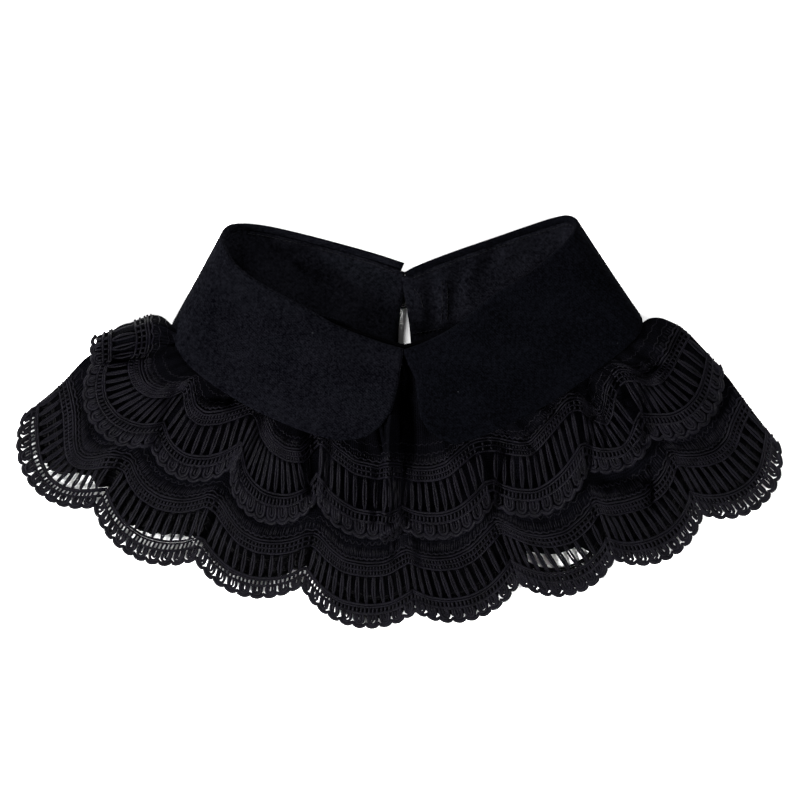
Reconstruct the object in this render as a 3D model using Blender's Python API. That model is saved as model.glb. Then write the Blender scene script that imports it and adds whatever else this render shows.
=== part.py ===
# Detachable collar laid flat: a turned-down collar in two leaves on a stand,
# with a ruffle of two scalloped lace tiers. It is folded flat at the
# shoulders, front half on back half, and lies on its back.
# Frame: +X across the collar, +Y towards the back neck, +Z up, metres.
# Tables are in millimetres from a drawing origin on the centre-front line;
# the whole model is centred on its own footprint at the end.

import bpy
import math
import numpy as np

MM = 0.001

# driving dimensions (mm)
LEAF_WALL = 1.6          # two layers of interfaced cloth
STAND_WALL = 1.4
SEAM_GAP = 0.35          # between pieces that are sewn together
ROLL_DEPTH = 3.0         # leaf cloth turned over the top of the stand
LEAF_WIDTH = 58.0        # top edge to hem of a leaf
STAND_BACK = 0.66        # stand height at centre back, as a part of LEAF_WIDTH
STAND_DIP = 0.08         # more of it towards the two ends
STAND_SIDE = 0.46
STAND_FRONT = 0.16
LACE_WALL = 1.2          # one thickness of guipure lace
TIER_GAP = 0.5           # between tiers that lie on each other
SEAM_RISE = 3.2          # climb of the front tiers to the stand's lower edge
PILE_CLEAR = 2.2         # underside of the hidden pile above the back leaf
FAN = (0.25, 117.75)     # centre of the fan that the ruffle lies in
BUTTON_DIAMETER = 7.0
BUTTON_THICK = 1.3
LOOP_CORD = 1.0
CLOSURE_AT = (1.0, 61.5)

# Sections round each leaf, from centre back, round the side fold, to centre
# front: top edge x y z, hem x y z, and how far down the top edge keeps its lift.
#            top_x   top_y  top_z   hem_x  hem_y  hem_z  lift
LEFT_LEAF = [
    (1.2, 80.0, 2.2, -22.0, 25.0, 0.0, 0.30),
    (-11.0, 84.2, 2.2, -31.0, 28.0, 0.0, 0.30),
    (-30.0, 89.6, 2.2, -42.0, 31.5, 0.0, 0.30),
    (-50.0, 94.8, 2.4, -60.0, 36.5, 0.0, 0.32),
    (-66.0, 98.4, 3.0, -78.0, 41.5, 0.0, 0.36),
    (-78.0, 99.9, 4.2, -93.5, 46.0, 0.0, 0.45),
    (-85.4, 99.3, 7.2, -104.5, 49.4, 1.2, 0.80),
    (-88.4, 96.4, 11.8, -112.0, 51.2, 4.6, 1.00),
    (-88.9, 91.8, 16.6, -114.4, 48.6, 9.8, 1.00),
    (-87.0, 86.4, 20.6, -114.0, 43.4, 14.6, 1.00),
    (-81.8, 78.4, 23.0, -110.4, 34.6, 17.4, 1.00),
    (-70.3, 69.3, 24.0, -101.4, 24.2, 18.0, 1.00),
    (-51.3, 58.8, 23.6, -80.0, 9.6, 18.2, 1.00),
    (-30.3, 47.3, 21.8, -54.0, -2.8, 18.2, 1.00),
    (-12.0, 40.2, 19.6, -32.0, -9.2, 18.0, 1.00),
    (0.7, 36.3, 18.6, -17.2, -8.0, 17.8, 1.00),
]
RIGHT_LEAF = [
    (1.9, 74.9, 2.2, 24.0, 24.0, 0.0, 0.30),
    (9.6, 79.2, 2.2, 31.0, 27.0, 0.0, 0.30),
    (28.0, 86.2, 2.2, 43.0, 30.5, 0.0, 0.30),
    (47.3, 92.8, 2.4, 61.0, 35.5, 0.0, 0.32),
    (64.0, 98.6, 3.0, 80.0, 41.5, 0.0, 0.36),
    (76.4, 102.6, 4.2, 96.0, 47.0, 0.0, 0.45),
    (84.0, 103.8, 7.2, 108.5, 52.4, 1.2, 0.80),
    (87.6, 102.0, 11.8, 117.0, 55.2, 4.6, 1.00),
    (87.8, 98.2, 16.6, 120.8, 52.2, 9.8, 1.00),
    (85.0, 93.4, 20.6, 120.6, 46.4, 14.6, 1.00),
    (78.6, 86.4, 23.0, 115.4, 39.6, 17.4, 1.00),
    (64.0, 74.2, 24.0, 103.0, 29.4, 18.0, 1.00),
    (46.0, 63.0, 23.6, 82.0, 13.8, 18.2, 1.00),
    (29.0, 49.0, 21.8, 58.0, 0.2, 18.2, 1.00),
    (13.8, 40.5, 19.6, 40.0, -7.6, 18.0, 1.00),
    (1.6, 35.8, 18.6, 27.2, -11.6, 17.8, 1.00),
]
# front point of each leaf: part of the way down, x, y
LEFT_POINT = [(0.0, 0.7, 36.3), (0.33, -0.8, 20.3), (0.62, -4.3, 5.0), (0.82, -10.2, -2.8), (1.0, -17.2, -8.0)]
RIGHT_POINT = [(0.0, 1.6, 35.8), (0.14, 4.75, 27.75), (0.28, 7.5, 20.75), (0.46, 8.4, 10.75), (0.62, 9.9, 1.75),
               (0.76, 13.9, -4.75), (0.88, 19.75, -8.75), (1.0, 27.2, -11.6)]
# inner end of the stand at centre back: part of the way down its height, x, y
LEFT_STAND_END = [(0.0, 1.1, 75.2), (0.333, 0.4, 61.5), (0.667, -0.7, 49.0), (1.0, -1.2, 36.4)]
RIGHT_STAND_END = [(0.0, 2.2, 70.3), (0.333, 2.5, 60.5), (0.667, 4.4, 48.5), (1.0, 5.4, 36.6)]

# Lines across a tier from the seam at the stand to the hem, as points
# (part of the way, x, y). Those at the two shoulders bend round the collar.
UPPER_LEFT = [(0.0, -84.0, 50.5), (0.25, -104.0, 38.4), (0.38, -115.4, 39.6), (0.50, -120.4, 51.4),
              (0.58, -125.4, 53.6), (0.78, -140.2, 47.8), (1.0, -154.2, 42.2)]
UPPER_LEFT_NEXT = [(0.0, -82.0, 48.6), (0.25, -101.6, 34.6), (0.40, -115.4, 35.4), (1.0, -154.8, 28.8)]
UPPER_RIGHT = [(0.0, 85.6, 60.4), (0.30, 110.4, 41.6), (0.42, 123.0, 40.8), (0.52, 125.8, 49.6),
               (0.60, 130.2, 52.2), (0.78, 142.2, 47.2), (1.0, 161.2, 26.8)]
LOWER_LEFT = [(0.0, -83.6, 49.4), (0.20, -104.4, 37.4), (0.30, -117.8, 38.6), (0.60, -155.2, 35.6),
              (0.78, -168.4, 20.8), (1.0, -189.4, 2.9)]
LOWER_RIGHT = [(0.0, 85.2, 59.4), (0.25, 110.4, 40.6), (0.40, 124.0, 38.0), (0.70, 161.2, 26.8),
               (0.80, 170.0, 14.6), (0.90, 179.8, 1.8), (1.0, 190.3, -11.8)]

# Scallops of each hem, left to right: seam point and hem point where the
# scallop ends, and the point that its arc passes through.
#              seam_x  seam_y  end_x   end_y   mid_x   mid_y
UPPER_SCALLOPS = [
    (-82.0, 48.6, -154.8, 28.8, -155.4, 36.0),
    (-74.0, 44.4, -125.2, -12.8, -152.2, -5.2),
    (-58.0, 37.8, -83.8, -22.2, -107.2, -30.2),
    (-38.0, 31.6, -41.8, -39.2, -60.8, -52.2),
    (-16.0, 27.4, -10.2, -59.2, -23.2, -57.8),
    (2.0, 26.0, -0.2, -53.2, -5.6, -60.4),
    (24.0, 30.6, 45.8, -41.8, 24.8, -58.8),
    (46.0, 41.4, 93.2, -24.8, 75.8, -46.2),
    (66.0, 51.0, 125.8, -9.2, 110.6, -24.8),
    (85.6, 60.4, 161.2, 26.8, 150.0, -4.8),
]
LOWER_SCALLOPS = [
    (-70.0, 42.0, -154.2, -43.2, -186.8, -31.2),
    (-50.0, 34.0, -103.2, -70.2, -126.2, -71.8),
    (-28.0, 28.6, -49.8, -82.8, -75.2, -88.8),
    (2.0, 24.8, 7.8, -96.2, -21.8, -103.8),
    (30.0, 32.6, 59.8, -81.2, 33.8, -100.8),
    (54.0, 44.2, 107.2, -69.2, 85.2, -87.8),
    (72.0, 53.0, 151.8, -46.8, 128.8, -71.8),
    (85.2, 59.4, 190.3, -11.8, 181.2, -43.2),
]
# Folds standing in the upper tier: start x y, end x y, width, height (mm);
# a negative height is a valley between two folds.
UPPER_FOLDS = [
    (-118.0, 43.0, -152.0, 38.0, 8.0, 3.4),
    (-112.0, 35.0, -138.0, 31.5, 5.0, -2.6),
    (-92.0, 10.0, -122.0, -16.0, 6.0, 2.4),
    (-70.0, 4.0, -84.0, -20.0, 5.0, -2.0),
    (-48.0, 0.0, -42.0, -36.0, 6.0, -2.8),
    (-34.0, -6.0, -28.0, -44.0, 9.0, 1.8),
    (-6.6, 6.0, -5.4, -46.0, 3.6, 4.0),
    (4.0, 0.0, 2.0, -48.0, 5.0, -2.4),
    (20.0, -10.0, 26.0, -50.0, 10.0, 1.6),
    (52.0, 4.0, 68.0, -14.0, 7.0, 2.6),
    (84.0, 18.0, 96.0, -18.0, 5.0, -2.6),
    (112.0, 22.0, 118.0, -12.0, 5.0, 2.6),
    (124.0, 34.0, 128.0, 20.0, 6.0, -3.0),
    (126.0, 42.0, 146.0, 24.0, 8.0, 3.0),
]
# Distance from the fan's centre and the heights there (mm): top of the hidden
# pile, most lift of the lower tier, most lift of the upper tier.
#            from_fan  pile  low_lift  up_lift
HEIGHTS = [
    (60.0, 5.6, 1.2, 1.2),
    (95.0, 5.8, 1.4, 1.2),
    (125.0, 6.0, 1.6, 1.3),
    (140.0, 6.0, 2.0, 2.6),
    (165.0, 5.2, 2.2, 3.4),
    (185.0, 4.2, 2.0, 2.2),
    (205.0, 2.8, 1.4, 1.4),
    (218.0, 1.9, 1.0, 1.0),
    (240.0, 1.6, 0.8, 1.0),
]
# Hidden pile of the back half's tiers: seam on the stand, line to its hem.
# The hem stays inside the front hem by these amounts at the scallops.
PILE_SEAM = [(-77.0, 58.0), (-66.0, 56.8), (-47.0, 51.0), (-25.0, 43.4), (1.8, 33.6), (25.0, 40.4),
             (46.0, 48.8), (66.0, 58.0), (80.0, 63.0)]
PILE_INSET = 7.0

COLOUR_CLOTH = (0.0065, 0.0070, 0.0100, 1.0)
COLOUR_LACE = (0.0105, 0.0098, 0.0125, 1.0)
COLOUR_BUTTON = (0.0100, 0.0100, 0.0110, 1.0)


def clear_scene():
    for obj in list(bpy.data.objects):
        bpy.data.objects.remove(obj, do_unlink=True)


def material(name, colour, roughness, sheen):
    mat = bpy.data.materials.new(name)
    mat.use_nodes = True
    shader = mat.node_tree.nodes["Principled BSDF"]
    shader.inputs["Base Color"].default_value = colour
    shader.inputs["Roughness"].default_value = roughness
    shader.inputs["Metallic"].default_value = 0.0
    shader.inputs["Sheen Weight"].default_value = sheen
    return mat


LEAF_STEPS = 3           # sections between two rows of a leaf's table
STAND_STEPS = 2


def smooth(t):
    t = min(max(t, 0.0), 1.0)
    return t * t * (3.0 - 2.0 * t)


def spline_rows(rows, steps):
    """Catmull-Rom through table rows, steps sections between two rows."""
    pts = np.array(rows, float)
    ext = np.vstack([2 * pts[0] - pts[1], pts, 2 * pts[-1] - pts[-2]])
    out = []
    for i in range(1, len(ext) - 2):
        p0, p1, p2, p3 = ext[i - 1], ext[i], ext[i + 1], ext[i + 2]
        for k in range(steps):
            t = k / steps
            out.append(0.5 * (2 * p1 + (p2 - p0) * t + (2 * p0 - 5 * p1 + 4 * p2 - p3) * t * t
                              + (3 * p1 - p0 - 3 * p2 + p3) * t ** 3))
    out.append(pts[-1])
    return np.array(out)


def along(table, t):
    """Point of a (part, x, y) table at part t."""
    parts = [row[0] for row in table]
    return np.array([np.interp(t, parts, [row[1] for row in table]),
                     np.interp(t, parts, [row[2] for row in table])])


def heights(x, y):
    r = math.hypot(x - FAN[0], y - FAN[1])
    cols = list(zip(*HEIGHTS))
    pile, low, up = (float(np.interp(r, cols[0], cols[k])) for k in (1, 2, 3))
    # the pile and its folds flatten towards the two shoulder folds
    angle = math.degrees(math.atan2(FAN[1] - y, abs(x - FAN[0])))
    flat = 0.42 + 0.58 * smooth((angle - 30.0) / 14.0) if r > 140.0 else 1.0
    if 140.0 < r < 160.0:
        flat = 1.0 + (flat - 1.0) * (r - 140.0) / 20.0
    return pile * flat, low * flat, up * flat


def seam_rise(x, y):
    """Both front tiers climb to the stand's lower edge at their seam."""
    pts = [(s[0], s[1]) for s in UPPER_SCALLOPS]
    seam = float(np.interp(x, [p[0] for p in pts], [p[1] for p in pts]))
    return SEAM_RISE * smooth((y - (seam - 13.0)) / 13.0)


def lower_floor(x, y):
    pile, low, up = heights(x, y)
    return pile + TIER_GAP + 0.6 * seam_rise(x, y)


def upper_floor(x, y):
    pile, low, up = heights(x, y)
    return pile + TIER_GAP + low + LACE_WALL + TIER_GAP + seam_rise(x, y)


def fold_lift(x, y, folds):
    lift = 0.0
    for x0, y0, x1, y1, width, high in folds:
        dx, dy = x1 - x0, y1 - y0
        length = math.hypot(dx, dy)
        t = ((x - x0) * dx + (y - y0) * dy) / (length * length)
        side = ((x - x0) * dy - (y - y0) * dx) / length
        end = smooth((t + 0.25) / 0.25) * smooth((1.25 - t) / 0.25)
        lift += high * end * math.exp(-(side / width) ** 2)
    return lift


# ---------------------------------------------------------------- leaves

def leaf_sections(rows, point, steps=LEAF_STEPS):
    """Sections of a leaf: for each a function of the part w down its width."""
    sections = spline_rows(rows, steps)
    count = len(sections)
    start = 1.0 - 3.2 / (len(rows) - 1)

    def at(i, w):
        tx, ty, tz, hx, hy, hz, lift = sections[i]
        a = i / (count - 1)
        x, y = tx + (hx - tx) * w, ty + (hy - ty) * w
        if a > start:
            g = ((a - start) / (1.0 - start)) ** 2
            lx, ly, lz, mx, my, mz, _ = sections[-1]
            ex, ey = along(point, w)
            x += g * (ex - (lx + (mx - lx) * w))
            y += g * (ey - (ly + (my - ly) * w))
        if lift < 0.999:
            fall = max(0.0, 1.0 - w / lift)
            z = hz + (tz - hz) * fall * fall
        else:
            z = tz + (hz - tz) * w + 1.2 * math.sin(math.pi * w)
        if 0.5 < lift < 0.999:
            mix = (lift - 0.5) / 0.5
            z = z * (1 - mix) + mix * (tz + (hz - tz) * w)
        return np.array([x, y, max(z, 0.0)])

    return count, at


def surface(count, at, parts):
    grid = np.array([[at(i, w) for w in parts] for i in range(count)])
    di = np.gradient(grid, axis=0)
    dw = np.gradient(grid, axis=1)
    n = np.cross(di, dw)
    n /= np.maximum(np.linalg.norm(n, axis=2, keepdims=True), 1e-9)
    if n[-3, 1, 2] < 0:
        n = -n
    # the part that lies flat has exactly vertical sides
    flat = grid[:, :, 2] < 0.05
    n[flat] = (0.0, 0.0, -1.0)
    return grid, n


def solid(name, top, bottom, mat):
    """Closed wall between two grids of points of the same size (mm)."""
    nu, nv = top.shape[:2]
    verts = np.concatenate([top.reshape(-1, 3), bottom.reshape(-1, 3)]) * MM
    size = nu * nv
    faces = []
    for i in range(nu - 1):
        for j in range(nv - 1):
            a, b, c, d = i * nv + j, (i + 1) * nv + j, (i + 1) * nv + j + 1, i * nv + j + 1
            faces.append((a, b, c, d))
            faces.append((size + d, size + c, size + b, size + a))
    rim = [i * nv for i in range(nu)] + [(nu - 1) * nv + j for j in range(1, nv)] \
        + [i * nv + nv - 1 for i in range(nu - 2, -1, -1)] + [j for j in range(nv - 2, 0, -1)]
    for k in range(len(rim)):
        a, b = rim[k], rim[(k + 1) % len(rim)]
        faces.append((b, a, size + a, size + b))
    volume = 0.0
    for f in faces:
        for k in (1, 2):
            volume += float(np.dot(verts[f[0]], np.cross(verts[f[k]], verts[f[k + 1]])))
    if volume < 0:
        faces = [tuple(reversed(f)) for f in faces]
    mesh = bpy.data.meshes.new(name)
    mesh.from_pydata([tuple(v) for v in verts], [], faces)
    mesh.update()
    mesh.shade_smooth()
    mesh.set_sharp_from_angle(angle=math.radians(40))
    mesh.materials.append(mat)
    obj = bpy.data.objects.new(name, mesh)
    bpy.context.scene.collection.objects.link(obj)
    return obj


def make_leaf(name, rows, point, mat):
    count, at = leaf_sections(rows, point)
    roll = ROLL_DEPTH / LEAF_WIDTH
    parts = [0.0, 0.012, roll, roll + 0.012, 0.27, 0.50, 0.76, 1.0]
    grid, n = surface(count, at, parts)
    double = LEAF_WALL + SEAM_GAP + STAND_WALL
    outer = grid.copy()
    inner = grid.copy()
    for j, w in enumerate(parts):
        deep = double if w <= roll else LEAF_WALL
        inset = 0.9 if j == 0 else 0.0
        outer[:, j] -= n[:, j] * inset
        inner[:, j] -= n[:, j] * (deep - inset)
    if not outer[0, -1, 2] < inner[0, -1, 2]:
        raise ValueError("leaf is inside out")
    return solid(name, outer, inner, mat)


def make_stand(name, mat):
    """One band from the left end at centre back to the right end."""
    roll = (ROLL_DEPTH + 0.9) / LEAF_WIDTH
    columns = []
    for rows, point, end, flip in ((LEFT_LEAF, LEFT_POINT, LEFT_STAND_END, False),
                                   (RIGHT_LEAF, RIGHT_POINT, RIGHT_STAND_END, True)):
        count, at = leaf_sections(rows, point, STAND_STEPS)
        side = []
        for i in range(count):
            a = i / (count - 1)
            low = STAND_BACK + (STAND_SIDE - STAND_BACK) * smooth((a - 0.15) / 0.4) \
                + (STAND_FRONT - STAND_SIDE) * smooth((a - 0.6) / 0.4) \
                + STAND_DIP * (1.0 - smooth(a / 0.10))
            side.append([roll + (low - roll) * k / 3 for k in range(4)])
        grid = np.array([[at(i, w) for w in side[i]] for i in range(count)])
        n = np.cross(np.gradient(grid, axis=0), np.gradient(grid, axis=1))
        n /= np.maximum(np.linalg.norm(n, axis=2, keepdims=True), 1e-9)
        if n[-4, 1, 2] < 0:
            n = -n
        n[grid[:, :, 2] < 0.05] = (0.0, 0.0, -1.0)
        # ends at centre back
        for k in range(4):
            grid[0, k, :2] = along(end, k / 3)
        keep = list(range(count - 1))
        pair = (grid[keep], n[keep])
        columns.append(pair if not flip else (pair[0][::-1], pair[1][::-1]))
    middle = []
    for k in range(4):
        w = roll + (STAND_FRONT - roll) * k / 3
        middle.append((1.15, 35.6 - LEAF_WIDTH * w, 18.6))
    grid = np.concatenate([columns[0][0], np.array([middle]), columns[1][0]])
    n = np.concatenate([columns[0][1], np.array([[(0.0, 0.0, 1.0)] * 4]), columns[1][1]])
    top = grid - n * (LEAF_WALL + SEAM_GAP)
    under = grid - n * (LEAF_WALL + SEAM_GAP + STAND_WALL)
    return solid(name, top, under, mat)


# ---------------------------------------------------------------- ruffle

def arc(p0, pm, p1, t):
    """Point at part t of the circle arc from p0 to p1 that passes pm."""
    (ax, ay), (bx, by), (cx, cy) = p0, pm, p1
    d = 2 * (ax * (by - cy) + bx * (cy - ay) + cx * (ay - by))
    ux = ((ax * ax + ay * ay) * (by - cy) + (bx * bx + by * by) * (cy - ay) + (cx * cx + cy * cy) * (ay - by)) / d
    uy = ((ax * ax + ay * ay) * (cx - bx) + (bx * bx + by * by) * (ax - cx) + (cx * cx + cy * cy) * (bx - ax)) / d
    a0 = math.atan2(ay - uy, ax - ux)
    am = math.atan2(by - uy, bx - ux)
    a1 = math.atan2(cy - uy, cx - ux)
    turn = 2 * math.pi
    while a1 < a0:
        a1 += turn
    while am < a0:
        am += turn
    if am > a1:
        a1 -= turn
    r = math.hypot(ax - ux, ay - uy)
    a = a0 + (a1 - a0) * t
    return np.array([ux + r * math.cos(a), uy + r * math.sin(a)])


def tier_rows(left, scallops, right, second=None):
    """Lines across a tier at the scallop ends, as (part, x, y) tables."""
    rows = [left]
    for k, s in enumerate(scallops):
        if k == len(scallops) - 1:
            rows.append(right)
        elif k == 0 and second:
            rows.append(second)
        else:
            rows.append([(0.0, s[0], s[1]), (1.0, s[2], s[3])])
    return rows


def tier_plan(rows, scallops, per, parts):
    """Plan points of a tier, per columns to a scallop, and their places."""
    points, place = [], []
    for k, s in enumerate(scallops):
        a, b = rows[k], rows[k + 1]
        p0, p1 = along(a, 1.0), along(b, 1.0)
        pm = (s[4], s[5])
        for i in range(per):
            t = i / per
            bulge = arc(p0, pm, p1, t) - (p0 + (p1 - p0) * t)
            points.append([along(a, v) * (1 - t) + along(b, v) * t + bulge * v ** 3 for v in parts])
            place.append(k + t)
    points.append([along(rows[-1], v) for v in parts])
    place.append(float(len(scallops)))
    return np.array(points), place


def make_tier(name, rows, scallops, per, parts, floor, lift_of, mat, folds=(), waves=2.0, phase=0.0):
    plan, place = tier_plan(rows, scallops, per, parts)
    nu, nv = plan.shape[:2]
    top = np.zeros((nu, nv, 3))
    bottom = np.zeros((nu, nv, 3))
    last = len(scallops)
    for i in range(nu):
        u = place[i]
        for j in range(nv):
            x, y = plan[i, j]
            v = parts[j]
            base = floor(x, y)
            room = lift_of(x, y)
            wave = 0.5 + 0.5 * math.sin(2 * math.pi * (waves * u + 0.13 * math.sin(2.3 * u)) + phase)
            wave = wave * (1 - 0.45 * v) + 0.2 * v
            lift = room * (0.25 + 0.5 * wave)
            if folds:
                lift += fold_lift(x, y, folds) * min(1.0, room / 2.4)
            lift = max(0.0, lift)
            if not folds:
                lift = min(lift, room)
            # hem and shoulder folds lie down
            edge = smooth(min(u, last - u) / 0.35)
            lift *= 0.25 + 0.75 * edge
            bottom[i, j] = (x, y, base + lift)
            top[i, j] = (x, y, base + lift + LACE_WALL)
    return solid(name, top, bottom, mat)


def back_hem(x):
    """y of the back leaves' hem at x."""
    pts = sorted([(r[3], r[4]) for r in LEFT_LEAF[:8]] + [(r[3], r[4]) for r in RIGHT_LEAF[:8]])
    return float(np.interp(x, [p[0] for p in pts], [p[1] for p in pts]))


def make_pile(name, mat):
    """The back half's two tiers: one rounded solid, stepped at its edge."""
    rows = tier_rows(LOWER_LEFT, LOWER_SCALLOPS, LOWER_RIGHT)
    parts = [0.0, 0.2, 0.3, 0.5, 0.72, 0.86, 1.0]
    plan, place = tier_plan(rows, LOWER_SCALLOPS, 5, parts)
    nu = len(plan)
    seam = np.array(PILE_SEAM)
    top, bottom = [], []
    for i in range(nu):
        u = place[i] / len(LOWER_SCALLOPS)
        s = np.array([np.interp(u, np.linspace(0, 1, len(seam)), seam[:, 0]),
                      np.interp(u, np.linspace(0, 1, len(seam)), seam[:, 1])])
        # line from the pile's own seam to a hem set in from the front hem
        fine = [plan[i, 0] * (1 - t) + plan[i, 1] * t for t in (0.0, 0.5)] + list(plan[i, 1:])
        hem = plan[i, -1]
        inward = plan[i, -2] - hem
        hem = hem + inward / np.linalg.norm(inward) * PILE_INSET
        if u < 0.02 or u > 0.98:
            side = np.array([1.6 if u < 0.5 else -1.6, -1.0])
        else:
            side = np.array([0.0, 0.0])
        line = [s] + [p + side for p in fine[2:-1]] + [hem + side]
        # first point past the back leaf's hem
        cut = None
        for k in range(400):
            t = k / 400
            q = line[0] * (1 - t) + line[1] * t
            if q[1] < back_hem(q[0]) - 1.6:
                cut = t
                break
        if cut is None:
            cut = 0.92
        past = line[0] * (1 - cut) + line[1] * cut
        step = line[1] - line[0]
        beyond = past + step / np.linalg.norm(step) * 2.6
        chain = [line[0], past, beyond] + line[2:-1]
        before = chain[-1]
        chain += [line[-1] * 0.55 + before * 0.45, line[-1] * 0.62 + before * 0.38, line[-1] * 0.93 + before * 0.07,
                  line[-1]]
        rt, rb = [], []
        for j, (x, y) in enumerate(chain):
            pile = heights(x, y)[0]
            if j == 0:
                pile = min(pile, 4.6)
            low = PILE_CLEAR if j <= 1 else 0.0
            upper_ends = len(chain) - 3
            if j >= upper_ends:
                pile = min(pile, 1.3 if j < len(chain) - 1 else 1.1)
            rt.append((x, y, pile))
            rb.append((x, y, low))
        top.append(rt)
        bottom.append(rb)
    return solid(name, np.array(top), np.array(bottom), mat)


# ---------------------------------------------------------------- closing

def make_button(name, mat):
    cx, cy = CLOSURE_AT
    r = BUTTON_DIAMETER / 2
    profile = [(0.55, 0.0), (0.9, 0.12), (1.0, 0.5), (0.92, 1.0), (0.7, 1.0), (0.6, 0.7)]
    sides = 16
    z0 = 0.25
    verts, faces = [], []
    for pr, pz in profile:
        for k in range(sides):
            a = 2 * math.pi * k / sides
            verts.append(((cx + r * pr * math.cos(a)) * MM, (cy + r * pr * math.sin(a)) * MM,
                          (z0 + BUTTON_THICK * pz) * MM))
    for p in range(len(profile) - 1):
        for k in range(sides):
            a, b = p * sides + k, p * sides + (k + 1) % sides
            faces.append((a, b, b + sides, a + sides))
    faces.append(tuple(reversed(range(sides))))
    faces.append(tuple(range((len(profile) - 1) * sides, len(profile) * sides)))
    mesh = bpy.data.meshes.new(name)
    mesh.from_pydata(verts, [], faces)
    mesh.update()
    mesh.shade_smooth()
    mesh.set_sharp_from_angle(angle=math.radians(50))
    mesh.materials.append(mat)
    obj = bpy.data.objects.new(name, mesh)
    bpy.context.scene.collection.objects.link(obj)
    return obj


def make_loop(name, mat):
    """Cord loop sewn to the left end, round the button."""
    cx, cy = CLOSURE_AT
    r = BUTTON_DIAMETER / 2 + SEAM_GAP + LOOP_CORD / 2
    route = [(-4.9, cy + 1.4), (-3.4, cy + 2.6)]
    for k in range(13):
        a = math.radians(125 - 250 * k / 12)
        route.append((cx + r * math.cos(a), cy + r * math.sin(a)))
    route += [(-3.4, cy - 2.6), (-4.9, cy - 1.4)]
    route = np.array(route)
    sides = 6
    verts, faces = [], []
    for i, p in enumerate(route):
        d = route[min(i + 1, len(route) - 1)] - route[max(i - 1, 0)]
        d /= np.linalg.norm(d)
        side = np.array([-d[1], d[0]])
        for k in range(sides):
            a = 2 * math.pi * k / sides
            q = p + side * (LOOP_CORD / 2) * math.cos(a)
            verts.append((q[0] * MM, q[1] * MM, (0.9 + LOOP_CORD / 2 * math.sin(a)) * MM))
    for i in range(len(route) - 1):
        for k in range(sides):
            a, b = i * sides + k, i * sides + (k + 1) % sides
            faces.append((a, a + sides, b + sides, b))
    faces.append(tuple(range(sides)))
    faces.append(tuple(reversed(range((len(route) - 1) * sides, len(route) * sides))))
    volume = 0.0
    pts = np.array(verts)
    for f in faces:
        for k in range(1, len(f) - 1):
            volume += float(np.dot(pts[f[0]], np.cross(pts[f[k]], pts[f[k + 1]])))
    if volume < 0:
        faces = [tuple(reversed(f)) for f in faces]
    mesh = bpy.data.meshes.new(name)
    mesh.from_pydata(verts, [], faces)
    mesh.update()
    mesh.shade_smooth()
    mesh.materials.append(mat)
    obj = bpy.data.objects.new(name, mesh)
    bpy.context.scene.collection.objects.link(obj)
    return obj


def centre_on_footprint(objects):
    low = np.full(3, 1e9)
    high = np.full(3, -1e9)
    for obj in objects:
        pts = np.array([v.co[:] for v in obj.data.vertices])
        low = np.minimum(low, pts.min(axis=0))
        high = np.maximum(high, pts.max(axis=0))
    shift = np.array([-(low[0] + high[0]) / 2, -(low[1] + high[1]) / 2, -low[2]])
    for obj in objects:
        for v in obj.data.vertices:
            v.co.x += shift[0]
            v.co.y += shift[1]
            v.co.z += shift[2]
    print("footprint centre moved by mm", [round(float(s) * 1000, 4) for s in shift],
          "size", [round(float(h - l) * 1000, 2) for h, l in zip(high, low)])


def main():
    clear_scene()
    cloth = material("collar_cloth", COLOUR_CLOTH, 0.85, 0.3)
    band = material("stand_cloth", COLOUR_CLOTH, 0.85, 0.3)
    lace = material("lace_thread", COLOUR_LACE, 0.75, 0.2)
    under = material("lace_under", COLOUR_LACE, 0.85, 0.1)
    shiny = material("button_resin", COLOUR_BUTTON, 0.35, 0.0)
    objects = [
        make_leaf("collar_leaf_left", LEFT_LEAF, LEFT_POINT, cloth),
        make_leaf("collar_leaf_right", RIGHT_LEAF, RIGHT_POINT, cloth),
        make_stand("collar_stand", band),
        make_tier("ruffle_upper", tier_rows(UPPER_LEFT, UPPER_SCALLOPS, UPPER_RIGHT, UPPER_LEFT_NEXT),
                  UPPER_SCALLOPS, 6, [0.0, 0.16, 0.30, 0.41, 0.53, 0.68, 0.84, 1.0], upper_floor,
                  lambda x, y: heights(x, y)[2], lace, folds=UPPER_FOLDS, waves=1.0, phase=0.4),
        make_tier("ruffle_lower", tier_rows(LOWER_LEFT, LOWER_SCALLOPS, LOWER_RIGHT),
                  LOWER_SCALLOPS, 8, [0.0, 0.2, 0.3, 0.45, 0.64, 0.8, 0.92, 1.0], lower_floor,
                  lambda x, y: heights(x, y)[1], lace, waves=1.0, phase=2.1),
        make_pile("ruffle_back", under),
        make_button("closing_button", shiny),
        make_loop("closing_loop", band),
    ]
    centre_on_footprint(objects)


main()
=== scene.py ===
# The looks of the detachable collar: cloth shells with rolled and stitched
# edges, and two tiers of guipure lace whose threads are real strands laid on
# each tier's surface from one charted repeat. Millimetres inside,
# metres in the meshes.
import math

import bpy
import numpy as np
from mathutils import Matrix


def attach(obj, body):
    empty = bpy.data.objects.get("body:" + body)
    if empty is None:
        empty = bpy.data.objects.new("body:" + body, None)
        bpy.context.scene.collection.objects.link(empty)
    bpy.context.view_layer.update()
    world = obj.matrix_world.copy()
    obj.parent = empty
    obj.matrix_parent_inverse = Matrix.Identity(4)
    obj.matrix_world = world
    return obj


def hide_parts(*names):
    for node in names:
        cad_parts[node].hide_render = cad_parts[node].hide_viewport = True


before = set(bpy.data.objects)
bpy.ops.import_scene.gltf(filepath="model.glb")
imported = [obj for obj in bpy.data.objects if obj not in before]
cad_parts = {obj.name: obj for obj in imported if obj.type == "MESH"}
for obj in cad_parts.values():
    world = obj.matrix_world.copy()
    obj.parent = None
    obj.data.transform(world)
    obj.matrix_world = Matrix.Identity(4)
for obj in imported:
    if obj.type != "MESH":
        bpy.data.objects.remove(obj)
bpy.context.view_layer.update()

MM = 0.001
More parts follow.
